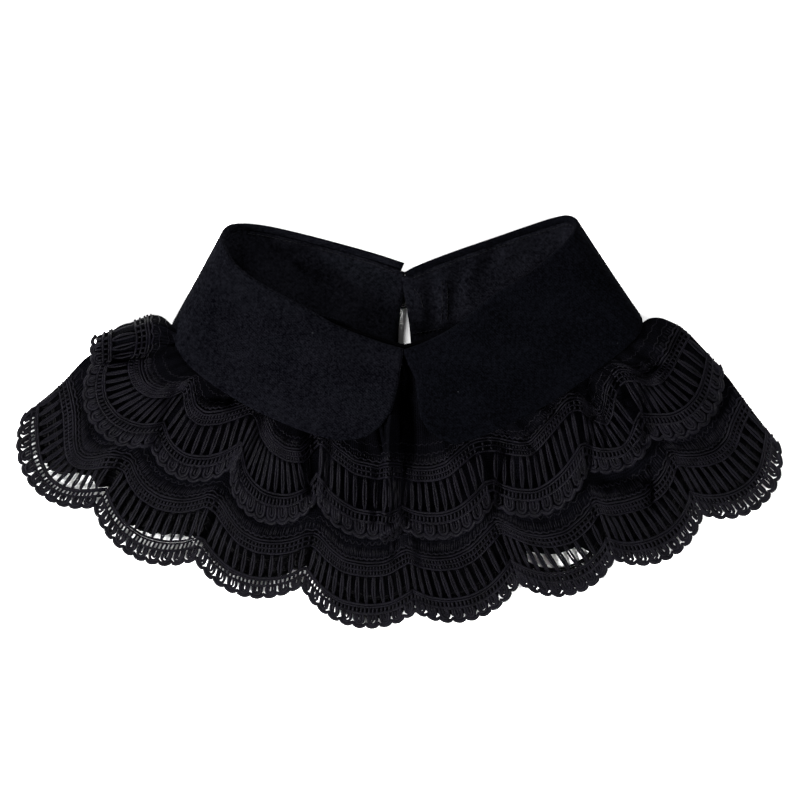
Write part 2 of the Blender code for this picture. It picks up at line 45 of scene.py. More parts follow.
SHIFT = np.array([0.604, 0.4315, 0.0])   # drawing origin to the row's origin

# ------------------------------------------------------------------ sizes
LEAF_WALL = 1.6
STAND_WALL = 1.4
SEAM_GAP = 0.35
ROLL_DEPTH = 3.0
LEAF_WIDTH = 58.0
STAND_BACK = 0.66
STAND_DIP = 0.08
STAND_SIDE = 0.46
STAND_FRONT = 0.16
LACE_WALL = 1.2
TIER_GAP = 0.5
SEAM_RISE = 3.2
FAN = (0.25, 117.75)

LEFT_LEAF = [
    (2.1, 79.9, 2.2, -22.0, 25.0, 0.0, 0.30),
    (-11.0, 84.2, 2.2, -31.0, 28.0, 0.0, 0.30),
    (-30.0, 89.6, 2.2, -42.0, 31.5, 0.0, 0.30),
    (-50.0, 94.8, 2.4, -60.0, 36.5, 0.0, 0.32),
    (-66.0, 98.4, 3.0, -78.0, 41.5, 0.0, 0.36),
    (-78.0, 99.9, 4.2, -93.5, 46.0, 0.0, 0.45),
    (-85.4, 99.3, 7.2, -104.5, 49.4, 1.2, 0.80),
    (-88.4, 96.4, 11.8, -112.0, 51.2, 4.6, 1.00),
    (-88.9, 91.8, 16.6, -114.4, 48.6, 9.8, 1.00),
    (-87.0, 86.4, 20.6, -114.0, 43.4, 14.6, 1.00),
    (-81.8, 78.4, 23.0, -110.4, 34.6, 17.4, 1.00),
    (-70.3, 69.3, 24.0, -101.4, 24.2, 18.0, 1.00),
    (-51.3, 58.8, 23.6, -80.0, 9.6, 18.2, 1.00),
    (-30.3, 47.3, 21.8, -54.0, -2.8, 18.2, 1.00),
    (-12.0, 40.2, 19.6, -32.0, -9.2, 18.0, 1.00),
    (0.7, 36.3, 18.6, -17.2, -8.0, 17.8, 1.00),
]
RIGHT_LEAF = [
    (1.6, 75.2, 2.2, 24.0, 24.0, 0.0, 0.30),
    (9.6, 79.2, 2.2, 31.0, 27.0, 0.0, 0.30),
    (28.0, 86.2, 2.2, 43.0, 30.5, 0.0, 0.30),
    (47.3, 92.8, 2.4, 61.0, 35.5, 0.0, 0.32),
    (64.0, 98.6, 3.0, 80.0, 41.5, 0.0, 0.36),
    (76.4, 102.6, 4.2, 96.0, 47.0, 0.0, 0.45),
    (84.0, 103.8, 7.2, 108.5, 52.4, 1.2, 0.80),
    (87.6, 102.0, 11.8, 117.0, 55.2, 4.6, 1.00),
    (87.8, 98.2, 16.6, 120.8, 52.2, 9.8, 1.00),
    (85.0, 93.4, 20.6, 120.6, 46.4, 14.6, 1.00),
    (78.6, 86.4, 23.0, 115.4, 39.6, 17.4, 1.00),
    (64.0, 74.2, 24.0, 103.0, 29.4, 18.0, 1.00),
    (46.0, 63.0, 23.6, 82.0, 13.8, 18.2, 1.00),
    (29.0, 49.0, 21.8, 58.0, 0.2, 18.2, 1.00),
    (13.8, 40.5, 19.6, 40.0, -7.6, 18.0, 1.00),
    (1.6, 35.8, 18.6, 27.2, -11.6, 17.8, 1.00),
]
LEFT_POINT = [(0.0, 1.6, 36.4), (0.09, 1.0, 31.5), (0.19, 0.1, 26.0), (0.33, -0.6, 20.3), (0.62, -4.3, 5.0), (0.82, -10.2, -2.8), (1.0, -17.2, -8.0)]
RIGHT_POINT = [(0.0, 1.6, 36.0), (0.05, 2.0, 33.0), (0.10, 3.1, 30.0), (0.15, 4.4, 27.25), (0.28, 7.5, 20.75), (0.46, 8.4, 10.75), (0.62, 9.9, 1.75),
               (0.76, 13.9, -4.75), (0.88, 19.75, -8.75), (1.0, 27.2, -11.6)]
LEFT_STAND_END = [(0.0, 2.3, 75.4), (0.22, 2.2, 66.0), (0.333, 0.9, 61.5), (0.667, -0.7, 49.0), (1.0, -1.2, 36.4)]
RIGHT_STAND_END = [(0.0, 0.2, 72.8), (0.07, 1.0, 70.0), (0.22, 1.55, 64.5), (0.333, 2.5, 60.5), (0.667, 4.4, 48.5), (1.0, 5.4, 36.6)]

UPPER_LEFT = [(0.0, -84.0, 50.5), (0.25, -105.0, 41.4), (0.38, -113.6, 47.6), (0.50, -118.8, 52.4),
              (0.58, -125.4, 53.6), (0.78, -140.2, 47.8), (1.0, -154.2, 42.2)]
UPPER_LEFT_NEXT = [(0.0, -82.0, 48.6), (0.25, -101.6, 34.6), (0.40, -115.4, 35.4), (1.0, -154.8, 28.8)]
UPPER_RIGHT = [(0.0, 85.6, 60.4), (0.30, 110.0, 46.0), (0.42, 118.8, 47.6), (0.52, 124.0, 51.6),
               (0.60, 130.2, 52.2), (0.78, 142.2, 47.2), (1.0, 161.2, 26.8)]
LOWER_LEFT = [(0.0, -83.6, 49.4), (0.20, -104.4, 37.4), (0.30, -117.8, 38.6), (0.60, -155.2, 35.6),
              (0.78, -168.4, 20.8), (1.0, -189.4, 2.9)]
LOWER_RIGHT = [(0.0, 85.2, 59.4), (0.25, 110.4, 40.6), (0.40, 124.0, 38.0), (0.70, 161.2, 26.8),
               (0.80, 170.0, 14.6), (0.90, 179.8, 1.8), (1.0, 190.3, -11.8)]
#   seam_x  seam_y  end_x   end_y   mid_x   mid_y   depth (of the pattern)
UPPER_SCALLOPS = [
    (-82.0, 48.6, -154.8, 28.8, -155.4, 36.0, 1.0),
    (-74.0, 44.4, -125.2, -12.8, -152.2, -5.2, 1.0),
    (-58.0, 37.8, -83.8, -22.2, -107.2, -30.2, 1.0),
    (-38.0, 31.6, -41.8, -39.2, -60.8, -52.2, 1.0),
    (-16.0, 27.4, -10.2, -59.2, -23.2, -57.8, 1.0),
    (2.0, 26.0, -0.2, -53.2, -5.6, -60.4, 1.0),
    (24.0, 30.6, 45.8, -41.8, 24.8, -58.8, 1.0),
    (46.0, 41.4, 93.2, -24.8, 75.8, -46.2, 1.0),
    (66.0, 51.0, 125.8, -9.2, 110.6, -24.8, 1.0),
    (85.6, 60.4, 161.2, 26.8, 150.0, -4.8, 1.0),
]
LOWER_SCALLOPS = [
    (-70.0, 42.0, -154.2, -43.2, -186.8, -31.2, 1.0),
    (-50.0, 34.0, -103.2, -70.2, -126.2, -71.8, 1.0),
    (-28.0, 28.6, -49.8, -82.8, -75.2, -88.8, 1.0),
    (2.0, 24.8, 7.8, -96.2, -21.8, -103.8, 1.0),
    (30.0, 32.6, 59.8, -81.2, 33.8, -100.8, 1.0),
    (54.0, 44.2, 107.2, -69.2, 85.2, -87.8, 1.0),
    (72.0, 53.0, 151.8, -46.8, 128.8, -71.8, 1.0),
    (85.2, 59.4, 190.3, -11.8, 181.2, -43.2, 1.0),
]
UPPER_FOLDS = [
    (-118.0, 43.0, -152.0, 38.0, 8.0, 3.4),
    (-112.0, 35.0, -138.0, 31.5, 5.0, -2.6),
    (-92.0, 10.0, -122.0, -16.0, 6.0, 2.4),
    (-70.0, 4.0, -84.0, -20.0, 5.0, -2.0),
    (-48.0, 0.0, -42.0, -36.0, 6.0, -2.8),
    (-34.0, -6.0, -28.0, -44.0, 9.0, 1.8),
    (-6.6, 6.0, -5.4, -46.0, 3.6, 4.0),
    (4.0, 0.0, 2.0, -48.0, 5.0, -2.4),
    (20.0, -10.0, 26.0, -50.0, 10.0, 1.6),
    (52.0, 4.0, 68.0, -14.0, 7.0, 2.6),
    (84.0, 18.0, 96.0, -18.0, 5.0, -2.6),
    (112.0, 22.0, 118.0, -12.0, 5.0, 2.6),
    (124.0, 34.0, 128.0, 20.0, 6.0, -3.0),
    (126.0, 42.0, 146.0, 24.0, 8.0, 3.0),
]
HEIGHTS = [
    (60.0, 5.6, 1.2, 1.2),
    (95.0, 5.8, 1.4, 1.2),
    (125.0, 6.0, 1.6, 1.3),
    (140.0, 6.0, 2.0, 2.6),
    (165.0, 5.2, 2.2, 3.4),
    (185.0, 4.2, 2.0, 2.2),
    (205.0, 2.8, 1.4, 1.4),
    (218.0, 1.9, 1.0, 1.0),
    (240.0, 1.6, 0.8, 1.0),
]


# ------------------------------------------------------------ small helpers
def smooth(t):
    t = np.clip(t, 0.0, 1.0)
    return t * t * (3.0 - 2.0 * t)


def along(table, t):
    parts = [row[0] for row in table]
    return np.stack([np.interp(t, parts, [row[1] for row in table]),
                     np.interp(t, parts, [row[2] for row in table])], axis=-1)


def heights(x, y):
    r = np.hypot(x - FAN[0], y - FAN[1])
    cols = list(zip(*HEIGHTS))
    pile, low, up = (np.interp(r, cols[0], cols[k]) for k in (1, 2, 3))
    angle = np.degrees(np.arctan2(FAN[1] - y, np.abs(x - FAN[0])))
    flat = 0.42 + 0.58 * smooth((angle - 30.0) / 14.0)
    flat = np.where(r < 140.0, 1.0, np.where(r < 160.0, 1.0 + (flat - 1.0) * (r - 140.0) / 20.0, flat))
    return pile * flat, low * flat, up * flat


def seam_rise(x, y):
    pts = [(s[0], s[1]) for s in UPPER_SCALLOPS]
    seam = np.interp(x, [p[0] for p in pts], [p[1] for p in pts])
    return SEAM_RISE * smooth((y - (seam - 13.0)) / 13.0)


def lower_floor(x, y):
    return heights(x, y)[0] + TIER_GAP + 0.6 * seam_rise(x, y)


def upper_floor(x, y):
    pile, low, up = heights(x, y)
    return pile + TIER_GAP + low + LACE_WALL + TIER_GAP + seam_rise(x, y)


def fold_lift(x, y, folds):
    lift = np.zeros_like(x)
    for x0, y0, x1, y1, width, high in folds:
        dx, dy = x1 - x0, y1 - y0
        length = math.hypot(dx, dy)
        t = ((x - x0) * dx + (y - y0) * dy) / (length * length)
        side = ((x - x0) * dy - (y - y0) * dx) / length
        end = smooth((t + 0.25) / 0.25) * smooth((1.25 - t) / 0.25)
        lift = lift + high * end * np.exp(-(side / width) ** 2)
    return lift


def spline_rows(rows, steps):
    pts = np.array(rows, float)
    ext = np.vstack([2 * pts[0] - pts[1], pts, 2 * pts[-1] - pts[-2]])
    out = []
    for i in range(1, len(ext) - 2):
        p0, p1, p2, p3 = ext[i - 1], ext[i], ext[i + 1], ext[i + 2]
        for k in range(steps):
            t = k / steps
            out.append(0.5 * (2 * p1 + (p2 - p0) * t + (2 * p0 - 5 * p1 + 4 * p2 - p3) * t * t
                              + (3 * p1 - p0 - 3 * p2 + p3) * t ** 3))
    out.append(pts[-1])
    return np.array(out)


def unit(v):
    return v / np.maximum(np.linalg.norm(v, axis=-1, keepdims=True), 1e-9)


def noise1(x, seed):
    """Smooth seeded noise of one variable, from -1 to 1."""
    x = np.asarray(x, float)
    rng = np.random.RandomState(seed)
    table = rng.uniform(-1, 1, 512)
    i = np.floor(x).astype(int)
    f = x - i
    f = f * f * (3 - 2 * f)
    return table[i % 512] * (1 - f) + table[(i + 1) % 512] * f


# ------------------------------------------------------------------ meshes
def add_mesh(name, verts, faces, mats, uv=None, smooth_shade=True, face_mats=None):
    """verts in drawing millimetres."""
    verts = (np.asarray(verts, float) + SHIFT) * MM
    mesh = bpy.data.meshes.new(name)
    faces = np.asarray(faces, np.int32)
    n = faces.shape[1]
    mesh.vertices.add(len(verts))
    mesh.vertices.foreach_set("co", verts.astype(np.float32).ravel())
    mesh.loops.add(faces.size)
    mesh.loops.foreach_set("vertex_index", faces.ravel())
    mesh.polygons.add(len(faces))
    mesh.polygons.foreach_set("loop_start", np.arange(0, faces.size, n, dtype=np.int32))
    mesh.update(calc_edges=True)
    if uv is not None:
        layer = mesh.uv_layers.new(name="thread")
        layer.data.foreach_set("uv", np.asarray(uv, np.float32)[faces.ravel()].ravel())
    mesh.validate()
    if smooth_shade:
        mesh.shade_smooth()
    for m in mats:
        mesh.materials.append(m)
    if face_mats is not None:
        mesh.polygons.foreach_set("material_index", np.asarray(face_mats, np.int32))
    obj = bpy.data.objects.new(name, mesh)
    bpy.context.scene.collection.objects.link(obj)
    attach(obj, "root")
    return obj


def grid_faces(nu, nv, start=0, flip=False):
    i, j = np.meshgrid(np.arange(nu - 1), np.arange(nv - 1), indexing="ij")
    a = (i * nv + j).ravel() + start
    f = np.stack([a, a + nv, a + nv + 1, a + 1], axis=1)
    return f[:, ::-1] if flip else f


def shell(top, bottom):
    """Vertices and faces of a closed wall between two grids."""
    nu, nv = top.shape[:2]
    size = nu * nv
    verts = np.concatenate([top.reshape(-1, 3), bottom.reshape(-1, 3)])
    rim = np.array([i * nv for i in range(nu)] + [(nu - 1) * nv + j for j in range(1, nv)]
                   + [i * nv + nv - 1 for i in range(nu - 2, -1, -1)] + [j for j in range(nv - 2, 0, -1)])
    nxt = np.roll(rim, -1)
    faces = np.concatenate([grid_faces(nu, nv), grid_faces(nu, nv, size, True),
                            np.stack([nxt, rim, size + rim, size + nxt], axis=1)])
    p = verts[faces]
    vol = np.einsum("ij,ij->", p[:, 0], np.cross(p[:, 1], p[:, 2])) + np.einsum(
        "ij,ij->", p[:, 0], np.cross(p[:, 2], p[:, 3]))
    if vol < 0:
        faces = faces[:, ::-1]
    return verts, faces


class Tubes:
    """Collects strands given as arrays of centre points with a frame."""

    def __init__(self):
        self.v, self.f, self.uv, self.n = [], [], [], 0

    def add(self, pts, up, radius, flat=1.0, sides=6, closed_ends=True):
        """pts (m, k, 3): m strands of k points; up (m, k, 3): the surface normal;
        radius: number or (m, k)."""
        m, k = pts.shape[:2]
        d = np.empty_like(pts)
        d[:, 1:-1] = pts[:, 2:] - pts[:, :-2]
        d[:, 0] = pts[:, 1] - pts[:, 0]
        d[:, -1] = pts[:, -1] - pts[:, -2]
        length = np.concatenate([np.zeros((m, 1)), np.cumsum(
            np.linalg.norm(pts[:, 1:] - pts[:, :-1], axis=2), axis=1)], axis=1)
        d = unit(d)
        side = unit(np.cross(d, up))
        upn = np.cross(side, d)
        r = np.broadcast_to(np.asarray(radius, float), (m, k))[..., None]
        ring, uvs = [], []
        for s in range(sides):
            a = 2 * math.pi * s / sides + 0.3
            ring.append(pts + side * r * math.cos(a) + upn * r * flat * math.sin(a))
            uvs.append(np.stack([length, np.full((m, k), s / sides * 6.0)], axis=-1))
        ring = np.stack(ring, axis=2)          # m, k, sides, 3
        uvs = np.stack(uvs, axis=2)
        base = self.n
        idx = (np.arange(m * k * sides).reshape(m, k, sides)) + base
        a = idx[:, :-1]
        b = idx[:, 1:]
        a2, b2 = np.roll(a, -1, axis=2), np.roll(b, -1, axis=2)
        quads = np.stack([a, b, b2, a2], axis=-1).reshape(-1, 4)
        self.v.append(ring.reshape(-1, 3))
        self.uv.append(uvs.reshape(-1, 2))
        self.f.append(quads)
        self.n += m * k * sides
        if closed_ends and sides == 6:
            for e, order in ((idx[:, 0], (0, 1, 2, 3)), (idx[:, -1], (3, 2, 1, 0))):
                o = list(order)
                self.f.append(e[:, o])
                second = [0, 3, 4, 5] if order[0] == 0 else [5, 4, 3, 0]
                self.f.append(e[:, second])
        elif closed_ends and sides == 4:
            self.f.append(idx[:, 0])
            self.f.append(idx[:, -1][:, ::-1])

    def count(self):
        return sum(len(f) for f in self.f) * 2

    def build(self, name, mats, slot):
        return add_mesh(name, np.concatenate(self.v), np.concatenate(self.f), mats, uv=np.concatenate(self.uv))


# --------------------------------------------------------------- materials
def new_material(name):
    mat = bpy.data.materials.new(name)
    mat.use_nodes = True
    nt = mat.node_tree
    shader = nt.nodes["Principled BSDF"]
    return mat, nt, shader


def node(nt, kind, **values):
    n = nt.nodes.new(kind)
    for k, v in values.items():
        if k in n.inputs:
            n.inputs[k].default_value = v
        else:
            setattr(n, k, v)
    return n


def cloth_material(name, low, high, seed):
    """Fine black suiting: a twill weave, fibre speckle, faint mottling, lint."""
    mat, nt, shader = new_material(name)
    shader.inputs["Roughness"].default_value = 0.92
    shader.inputs["Specular IOR Level"].default_value = 0.006
    shader.inputs["Sheen Weight"].default_value = 0.0012
    shader.inputs["Sheen Roughness"].default_value = 0.45
    shader.inputs["Sheen Tint"].default_value = (0.75, 0.8, 1.0, 1.0)
    co = node(nt, "ShaderNodeTexCoord")
    mapping = node(nt, "ShaderNodeMapping")
    mapping.inputs["Location"].default_value = (seed * 0.13, seed * 0.07, 0.0)
    nt.links.new(co.outputs["Object"], mapping.inputs["Vector"])
    speck = node(nt, "ShaderNodeTexNoise", Scale=1500.0, Detail=2.0, Roughness=0.6)
    clump = node(nt, "ShaderNodeTexNoise", Scale=620.0, Detail=3.0, Roughness=0.65)
    mottle = node(nt, "ShaderNodeTexNoise", Scale=45.0, Detail=3.0, Roughness=0.55)
    lint = node(nt, "ShaderNodeTexNoise", Scale=330.0, Detail=1.0)
    for t in (speck, clump, mottle, lint):
        nt.links.new(mapping.outputs["Vector"], t.inputs["Vector"])
    weave = node(nt, "ShaderNodeTexWave", Scale=420.0, Distortion=2.2, Detail=1.5)
    weave.bands_direction = "DIAGONAL"
    nt.links.new(mapping.outputs["Vector"], weave.inputs["Vector"])
    mix1 = node(nt, "ShaderNodeMath", operation="MULTIPLY")
    nt.links.new(speck.outputs["Fac"], mix1.inputs[0])
    nt.links.new(clump.outputs["Fac"], mix1.inputs[1])
    mix2 = node(nt, "ShaderNodeMath", operation="MULTIPLY_ADD")
    nt.links.new(mottle.outputs["Fac"], mix2.inputs[0])
    mix2.inputs[1].default_value = 0.22
    nt.links.new(mix1.outputs[0], mix2.inputs[2])
    mix3 = node(nt, "ShaderNodeMath", operation="MULTIPLY_ADD")
    nt.links.new(weave.outputs["Fac"], mix3.inputs[0])
    mix3.inputs[1].default_value = 0.07
    nt.links.new(mix2.outputs[0], mix3.inputs[2])
    ramp = node(nt, "ShaderNodeValToRGB")
    ramp.color_ramp.elements[0].position = 0.28
    ramp.color_ramp.elements[0].color = (*low, 1.0)
    ramp.color_ramp.elements[1].position = 0.56
    ramp.color_ramp.elements[1].color = (*high, 1.0)
    nt.links.new(mix3.outputs[0], ramp.inputs["Fac"])
    lint_ramp = node(nt, "ShaderNodeValToRGB")
    lint_ramp.color_ramp.elements[0].position = 0.79
    lint_ramp.color_ramp.elements[0].color = (0.0, 0.0, 0.0, 1.0)
    lint_ramp.color_ramp.elements[1].position = 0.84
    lint_ramp.color_ramp.elements[1].color = (1.0, 1.0, 1.0, 1.0)
    nt.links.new(lint.outputs["Fac"], lint_ramp.inputs["Fac"])
    mixer = node(nt, "ShaderNodeMix", data_type="RGBA")
    nt.links.new(lint_ramp.outputs["Color"], mixer.inputs["Factor"])
    nt.links.new(ramp.outputs["Color"], mixer.inputs["A"])
    mixer.inputs["B"].default_value = (0.0055, 0.0058, 0.0068, 1.0)
    nt.links.new(mixer.outputs["Result"], shader.inputs["Base Color"])
    bump = node(nt, "ShaderNodeBump", Strength=0.55, Distance=0.00022)
    nt.links.new(mix3.outputs[0], bump.inputs["Height"])
    nt.links.new(bump.outputs["Normal"], shader.inputs["Normal"])
    return mat


def thread_material(name, low, high, sheen=0.002, twist=1.5):
    """Satin-stitched embroidery thread: slanting strands across each cord."""
    mat, nt, shader = new_material(name)
    shader.inputs["Roughness"].default_value = 0.42
    shader.inputs["Specular IOR Level"].default_value = 0.022
    shader.inputs["Sheen Weight"].default_value = sheen
    shader.inputs["Sheen Roughness"].default_value = 0.4
    uv = node(nt, "ShaderNodeUVMap", uv_map="thread")
    mapping = node(nt, "ShaderNodeMapping")
    mapping.inputs["Rotation"].default_value = (0.0, 0.0, 0.5)
    nt.links.new(uv.outputs["UV"], mapping.inputs["Vector"])
    wave = node(nt, "ShaderNodeTexWave", Scale=twist, Distortion=0.6, Detail=1.0)
    nt.links.new(mapping.outputs["Vector"], wave.inputs["Vector"])
    co = node(nt, "ShaderNodeTexCoord")
    tone = node(nt, "ShaderNodeTexNoise", Scale=160.0, Detail=3.0, Roughness=0.6)
    nt.links.new(co.outputs["Object"], tone.inputs["Vector"])
    fuzz = node(nt, "ShaderNodeTexNoise", Scale=2200.0, Detail=1.0)
    nt.links.new(co.outputs["Object"], fuzz.inputs["Vector"])
    s1 = node(nt, "ShaderNodeMath", operation="MULTIPLY_ADD")
    nt.links.new(wave.outputs["Fac"], s1.inputs[0])
    s1.inputs[1].default_value = 0.35
    nt.links.new(tone.outputs["Fac"], s1.inputs[2])
    s2 = node(nt, "ShaderNodeMath", operation="MULTIPLY_ADD")
    nt.links.new(fuzz.outputs["Fac"], s2.inputs[0])
    s2.inputs[1].default_value = 0.3
    nt.links.new(s1.outputs[0], s2.inputs[2])
    ramp = node(nt, "ShaderNodeValToRGB")
    ramp.color_ramp.elements[0].position = 0.45
    ramp.color_ramp.elements[0].color = (*low, 1.0)
    ramp.color_ramp.elements[1].position = 1.0
    ramp.color_ramp.elements[1].color = (*high, 1.0)
    nt.links.new(s2.outputs[0], ramp.inputs["Fac"])
    nt.links.new(ramp.outputs["Color"], shader.inputs["Base Color"])
    bump = node(nt, "ShaderNodeBump", Strength=0.6, Distance=0.0002)
    nt.links.new(s2.outputs[0], bump.inputs["Height"])
    nt.links.new(bump.outputs["Normal"], shader.inputs["Normal"])
    return mat


def net_material(name, low, high):
    """Close net ground of the lace: small round meshes between fine threads. The meshes are painted near black, as
    painted shade for the layers seen through them.
    """
    mat, nt, shader = new_material(name)
    shader.inputs["Roughness"].default_value = 0.8
    shader.inputs["Specular IOR Level"].default_value = 0.006
    shader.inputs["Sheen Weight"].default_value = 0.0005
    uv = node(nt, "ShaderNodeUVMap", uv_map="thread")
    cells = node(nt, "ShaderNodeTexVoronoi", Scale=0.78, Randomness=0.35)
    cells.feature = "DISTANCE_TO_EDGE"
    nt.links.new(uv.outputs["UV"], cells.inputs["Vector"])
    thread = node(nt, "ShaderNodeValToRGB")
    thread.color_ramp.elements[0].position = 0.08
    thread.color_ramp.elements[0].color = (1.0, 1.0, 1.0, 1.0)
    thread.color_ramp.elements[1].position = 0.24
    thread.color_ramp.elements[1].color = (0.0, 0.0, 0.0, 1.0)
    nt.links.new(cells.outputs["Distance"], thread.inputs["Fac"])
    co = node(nt, "ShaderNodeTexCoord")
    tone = node(nt, "ShaderNodeTexNoise", Scale=240.0, Detail=3.0)
    nt.links.new(co.outputs["Object"], tone.inputs["Vector"])
    mul = node(nt, "ShaderNodeMath", operation="MULTIPLY")
    nt.links.new(thread.outputs["Color"], mul.inputs[0])
    nt.links.new(tone.outputs["Fac"], mul.inputs[1])
    ramp = node(nt, "ShaderNodeValToRGB")
    ramp.color_ramp.elements[0].position = 0.0
    ramp.color_ramp.elements[0].color = (*low, 1.0)
    ramp.color_ramp.elements[1].position = 0.75
    ramp.color_ramp.elements[1].color = (*high, 1.0)
    nt.links.new(mul.outputs[0], ramp.inputs["Fac"])
    nt.links.new(ramp.outputs["Color"], shader.inputs["Base Color"])
    bump = node(nt, "ShaderNodeBump", Strength=0.9, Distance=0.0004)
    nt.links.new(mul.outputs[0], bump.inputs["Height"])
    nt.links.new(bump.outputs["Normal"], shader.inputs["Normal"])
    return mat


# the two leaves are one cloth in two tones: the left leaf's lighter colour is painted light and the right leaf's darker
# colour is painted shade, for light falling from the left
LEFT_CLOTH_PAINTED_LIGHT = cloth_material("leaf_left_cloth", (0.0000, 0.0000, 0.0002), (0.0022, 0.0023, 0.0032), 1.0)
RIGHT_CLOTH_PAINTED_SHADE = cloth_material("leaf_right_cloth", (0.0000, 0.0000, 0.0001), (0.0009, 0.0010, 0.0016), 5.0)
STAND_CLOTH = cloth_material("stand_cloth", (0.0001, 0.0001, 0.0003), (0.0030, 0.0031, 0.0043), 9.0)
SEWING = thread_material("sewing_thread", (0.0001, 0.0001, 0.0002), (0.0015, 0.0015, 0.0021))
UPPER_THREAD = thread_material("upper_lace_thread", (0.0000, 0.0000, 0.0001), (0.0017, 0.0015, 0.0026))
LOWER_THREAD = thread_material("lower_lace_thread", (0.0000, 0.0000, 0.0001), (0.0021, 0.0019, 0.0031))
# the back tier's thread is a darker copy of the front lace's thread: painted shade, as it lies under the front tier
BACK_THREAD_PAINTED_SHADE = thread_material("back_lace_thread_painted_shade", (0.0000, 0.0000, 0.0001), (0.0010, 0.0009, 0.0012))
# the nets are coloured darker than the threads of the same lace: painted shade under the bars and under the upper
# tier's hem
UPPER_NET_PAINTED_SHADE = net_material("upper_lace_net_painted_shade", (0.0000, 0.0000, 0.0001), (0.0010, 0.0010, 0.0016))
LOWER_NET_PAINTED_SHADE = net_material("lower_lace_net_painted_shade", (0.0000, 0.0000, 0.0001), (0.0011, 0.0011, 0.0018))
# the back tier's net is a darker copy of the front nets: painted shade, as it lies under the front tier
BACK_NET_PAINTED_SHADE = net_material("back_lace_net_painted_shade", (0.0000, 0.0000, 0.0001), (0.0008, 0.0008, 0.0011))


# -------------------------------------------------------------- the leaves
def leaf_sections(rows, point, steps):
    sections = spline_rows(rows, steps)
    count = len(sections)
    start = 1.0 - 3.2 / (len(rows) - 1)

    def at(w):
        """All sections at the parts w (count, len(w), 3)."""
        w = np.asarray(w, float)
        s = sections[:, None, :]
        a = (np.arange(count) / (count - 1))[:, None]
        x = s[..., 0] + (s[..., 3] - s[..., 0]) * w
        y = s[..., 1] + (s[..., 4] - s[..., 1]) * w
        g = np.where(a > start, ((a - start) / (1.0 - start)) ** 2, 0.0)
        last = sections[-1]
        e = along(point, w)
        x = x + g * (e[..., 0] - (last[0] + (last[3] - last[0]) * w))
        y = y + g * (e[..., 1] - (last[1] + (last[4] - last[1]) * w))
        lift = s[..., 6]
        fall = np.maximum(0.0, 1.0 - w / lift)
        low = s[..., 5] + (s[..., 2] - s[..., 5]) * fall * fall
        straight = s[..., 2] + (s[..., 5] - s[..., 2]) * w
        mix = np.clip((lift - 0.5) / 0.5, 0.0, 1.0)
        z = np.where(lift < 0.999, low * (1 - mix) + mix * straight, straight + 1.2 * np.sin(math.pi * w))
        return np.stack([x, y, np.maximum(z, 0.0)], axis=-1)

    return count, at


def normals(grid, sample):
    n = unit(np.cross(np.gradient(grid, axis=0), np.gradient(grid, axis=1)))
    if n[sample][2] < 0:
        n = -n
    return n


# soft creases and troughs in the leaves' cloth: start x y, end x y, width, depth
LEAF_CREASES = [
    (58.0, 18.0, 28.0, -3.0, 3.2, -0.35),
    (66.0, 24.0, 40.0, 8.0, 4.0, 0.25),
    (-40.0, 28.0, -24.0, 6.0, 5.0, 0.25),
    (-88.0, 52.0, -60.0, 30.0, 6.0, -0.25),
    (92.0, 70.0, 78.0, 36.0, 6.0, -0.25),
    (-62.0, 96.0, -44.0, 82.0, 2.6, 0.5),
    (-96.0, 44.0, -84.0, 66.0, 4.5, 0.25),
]


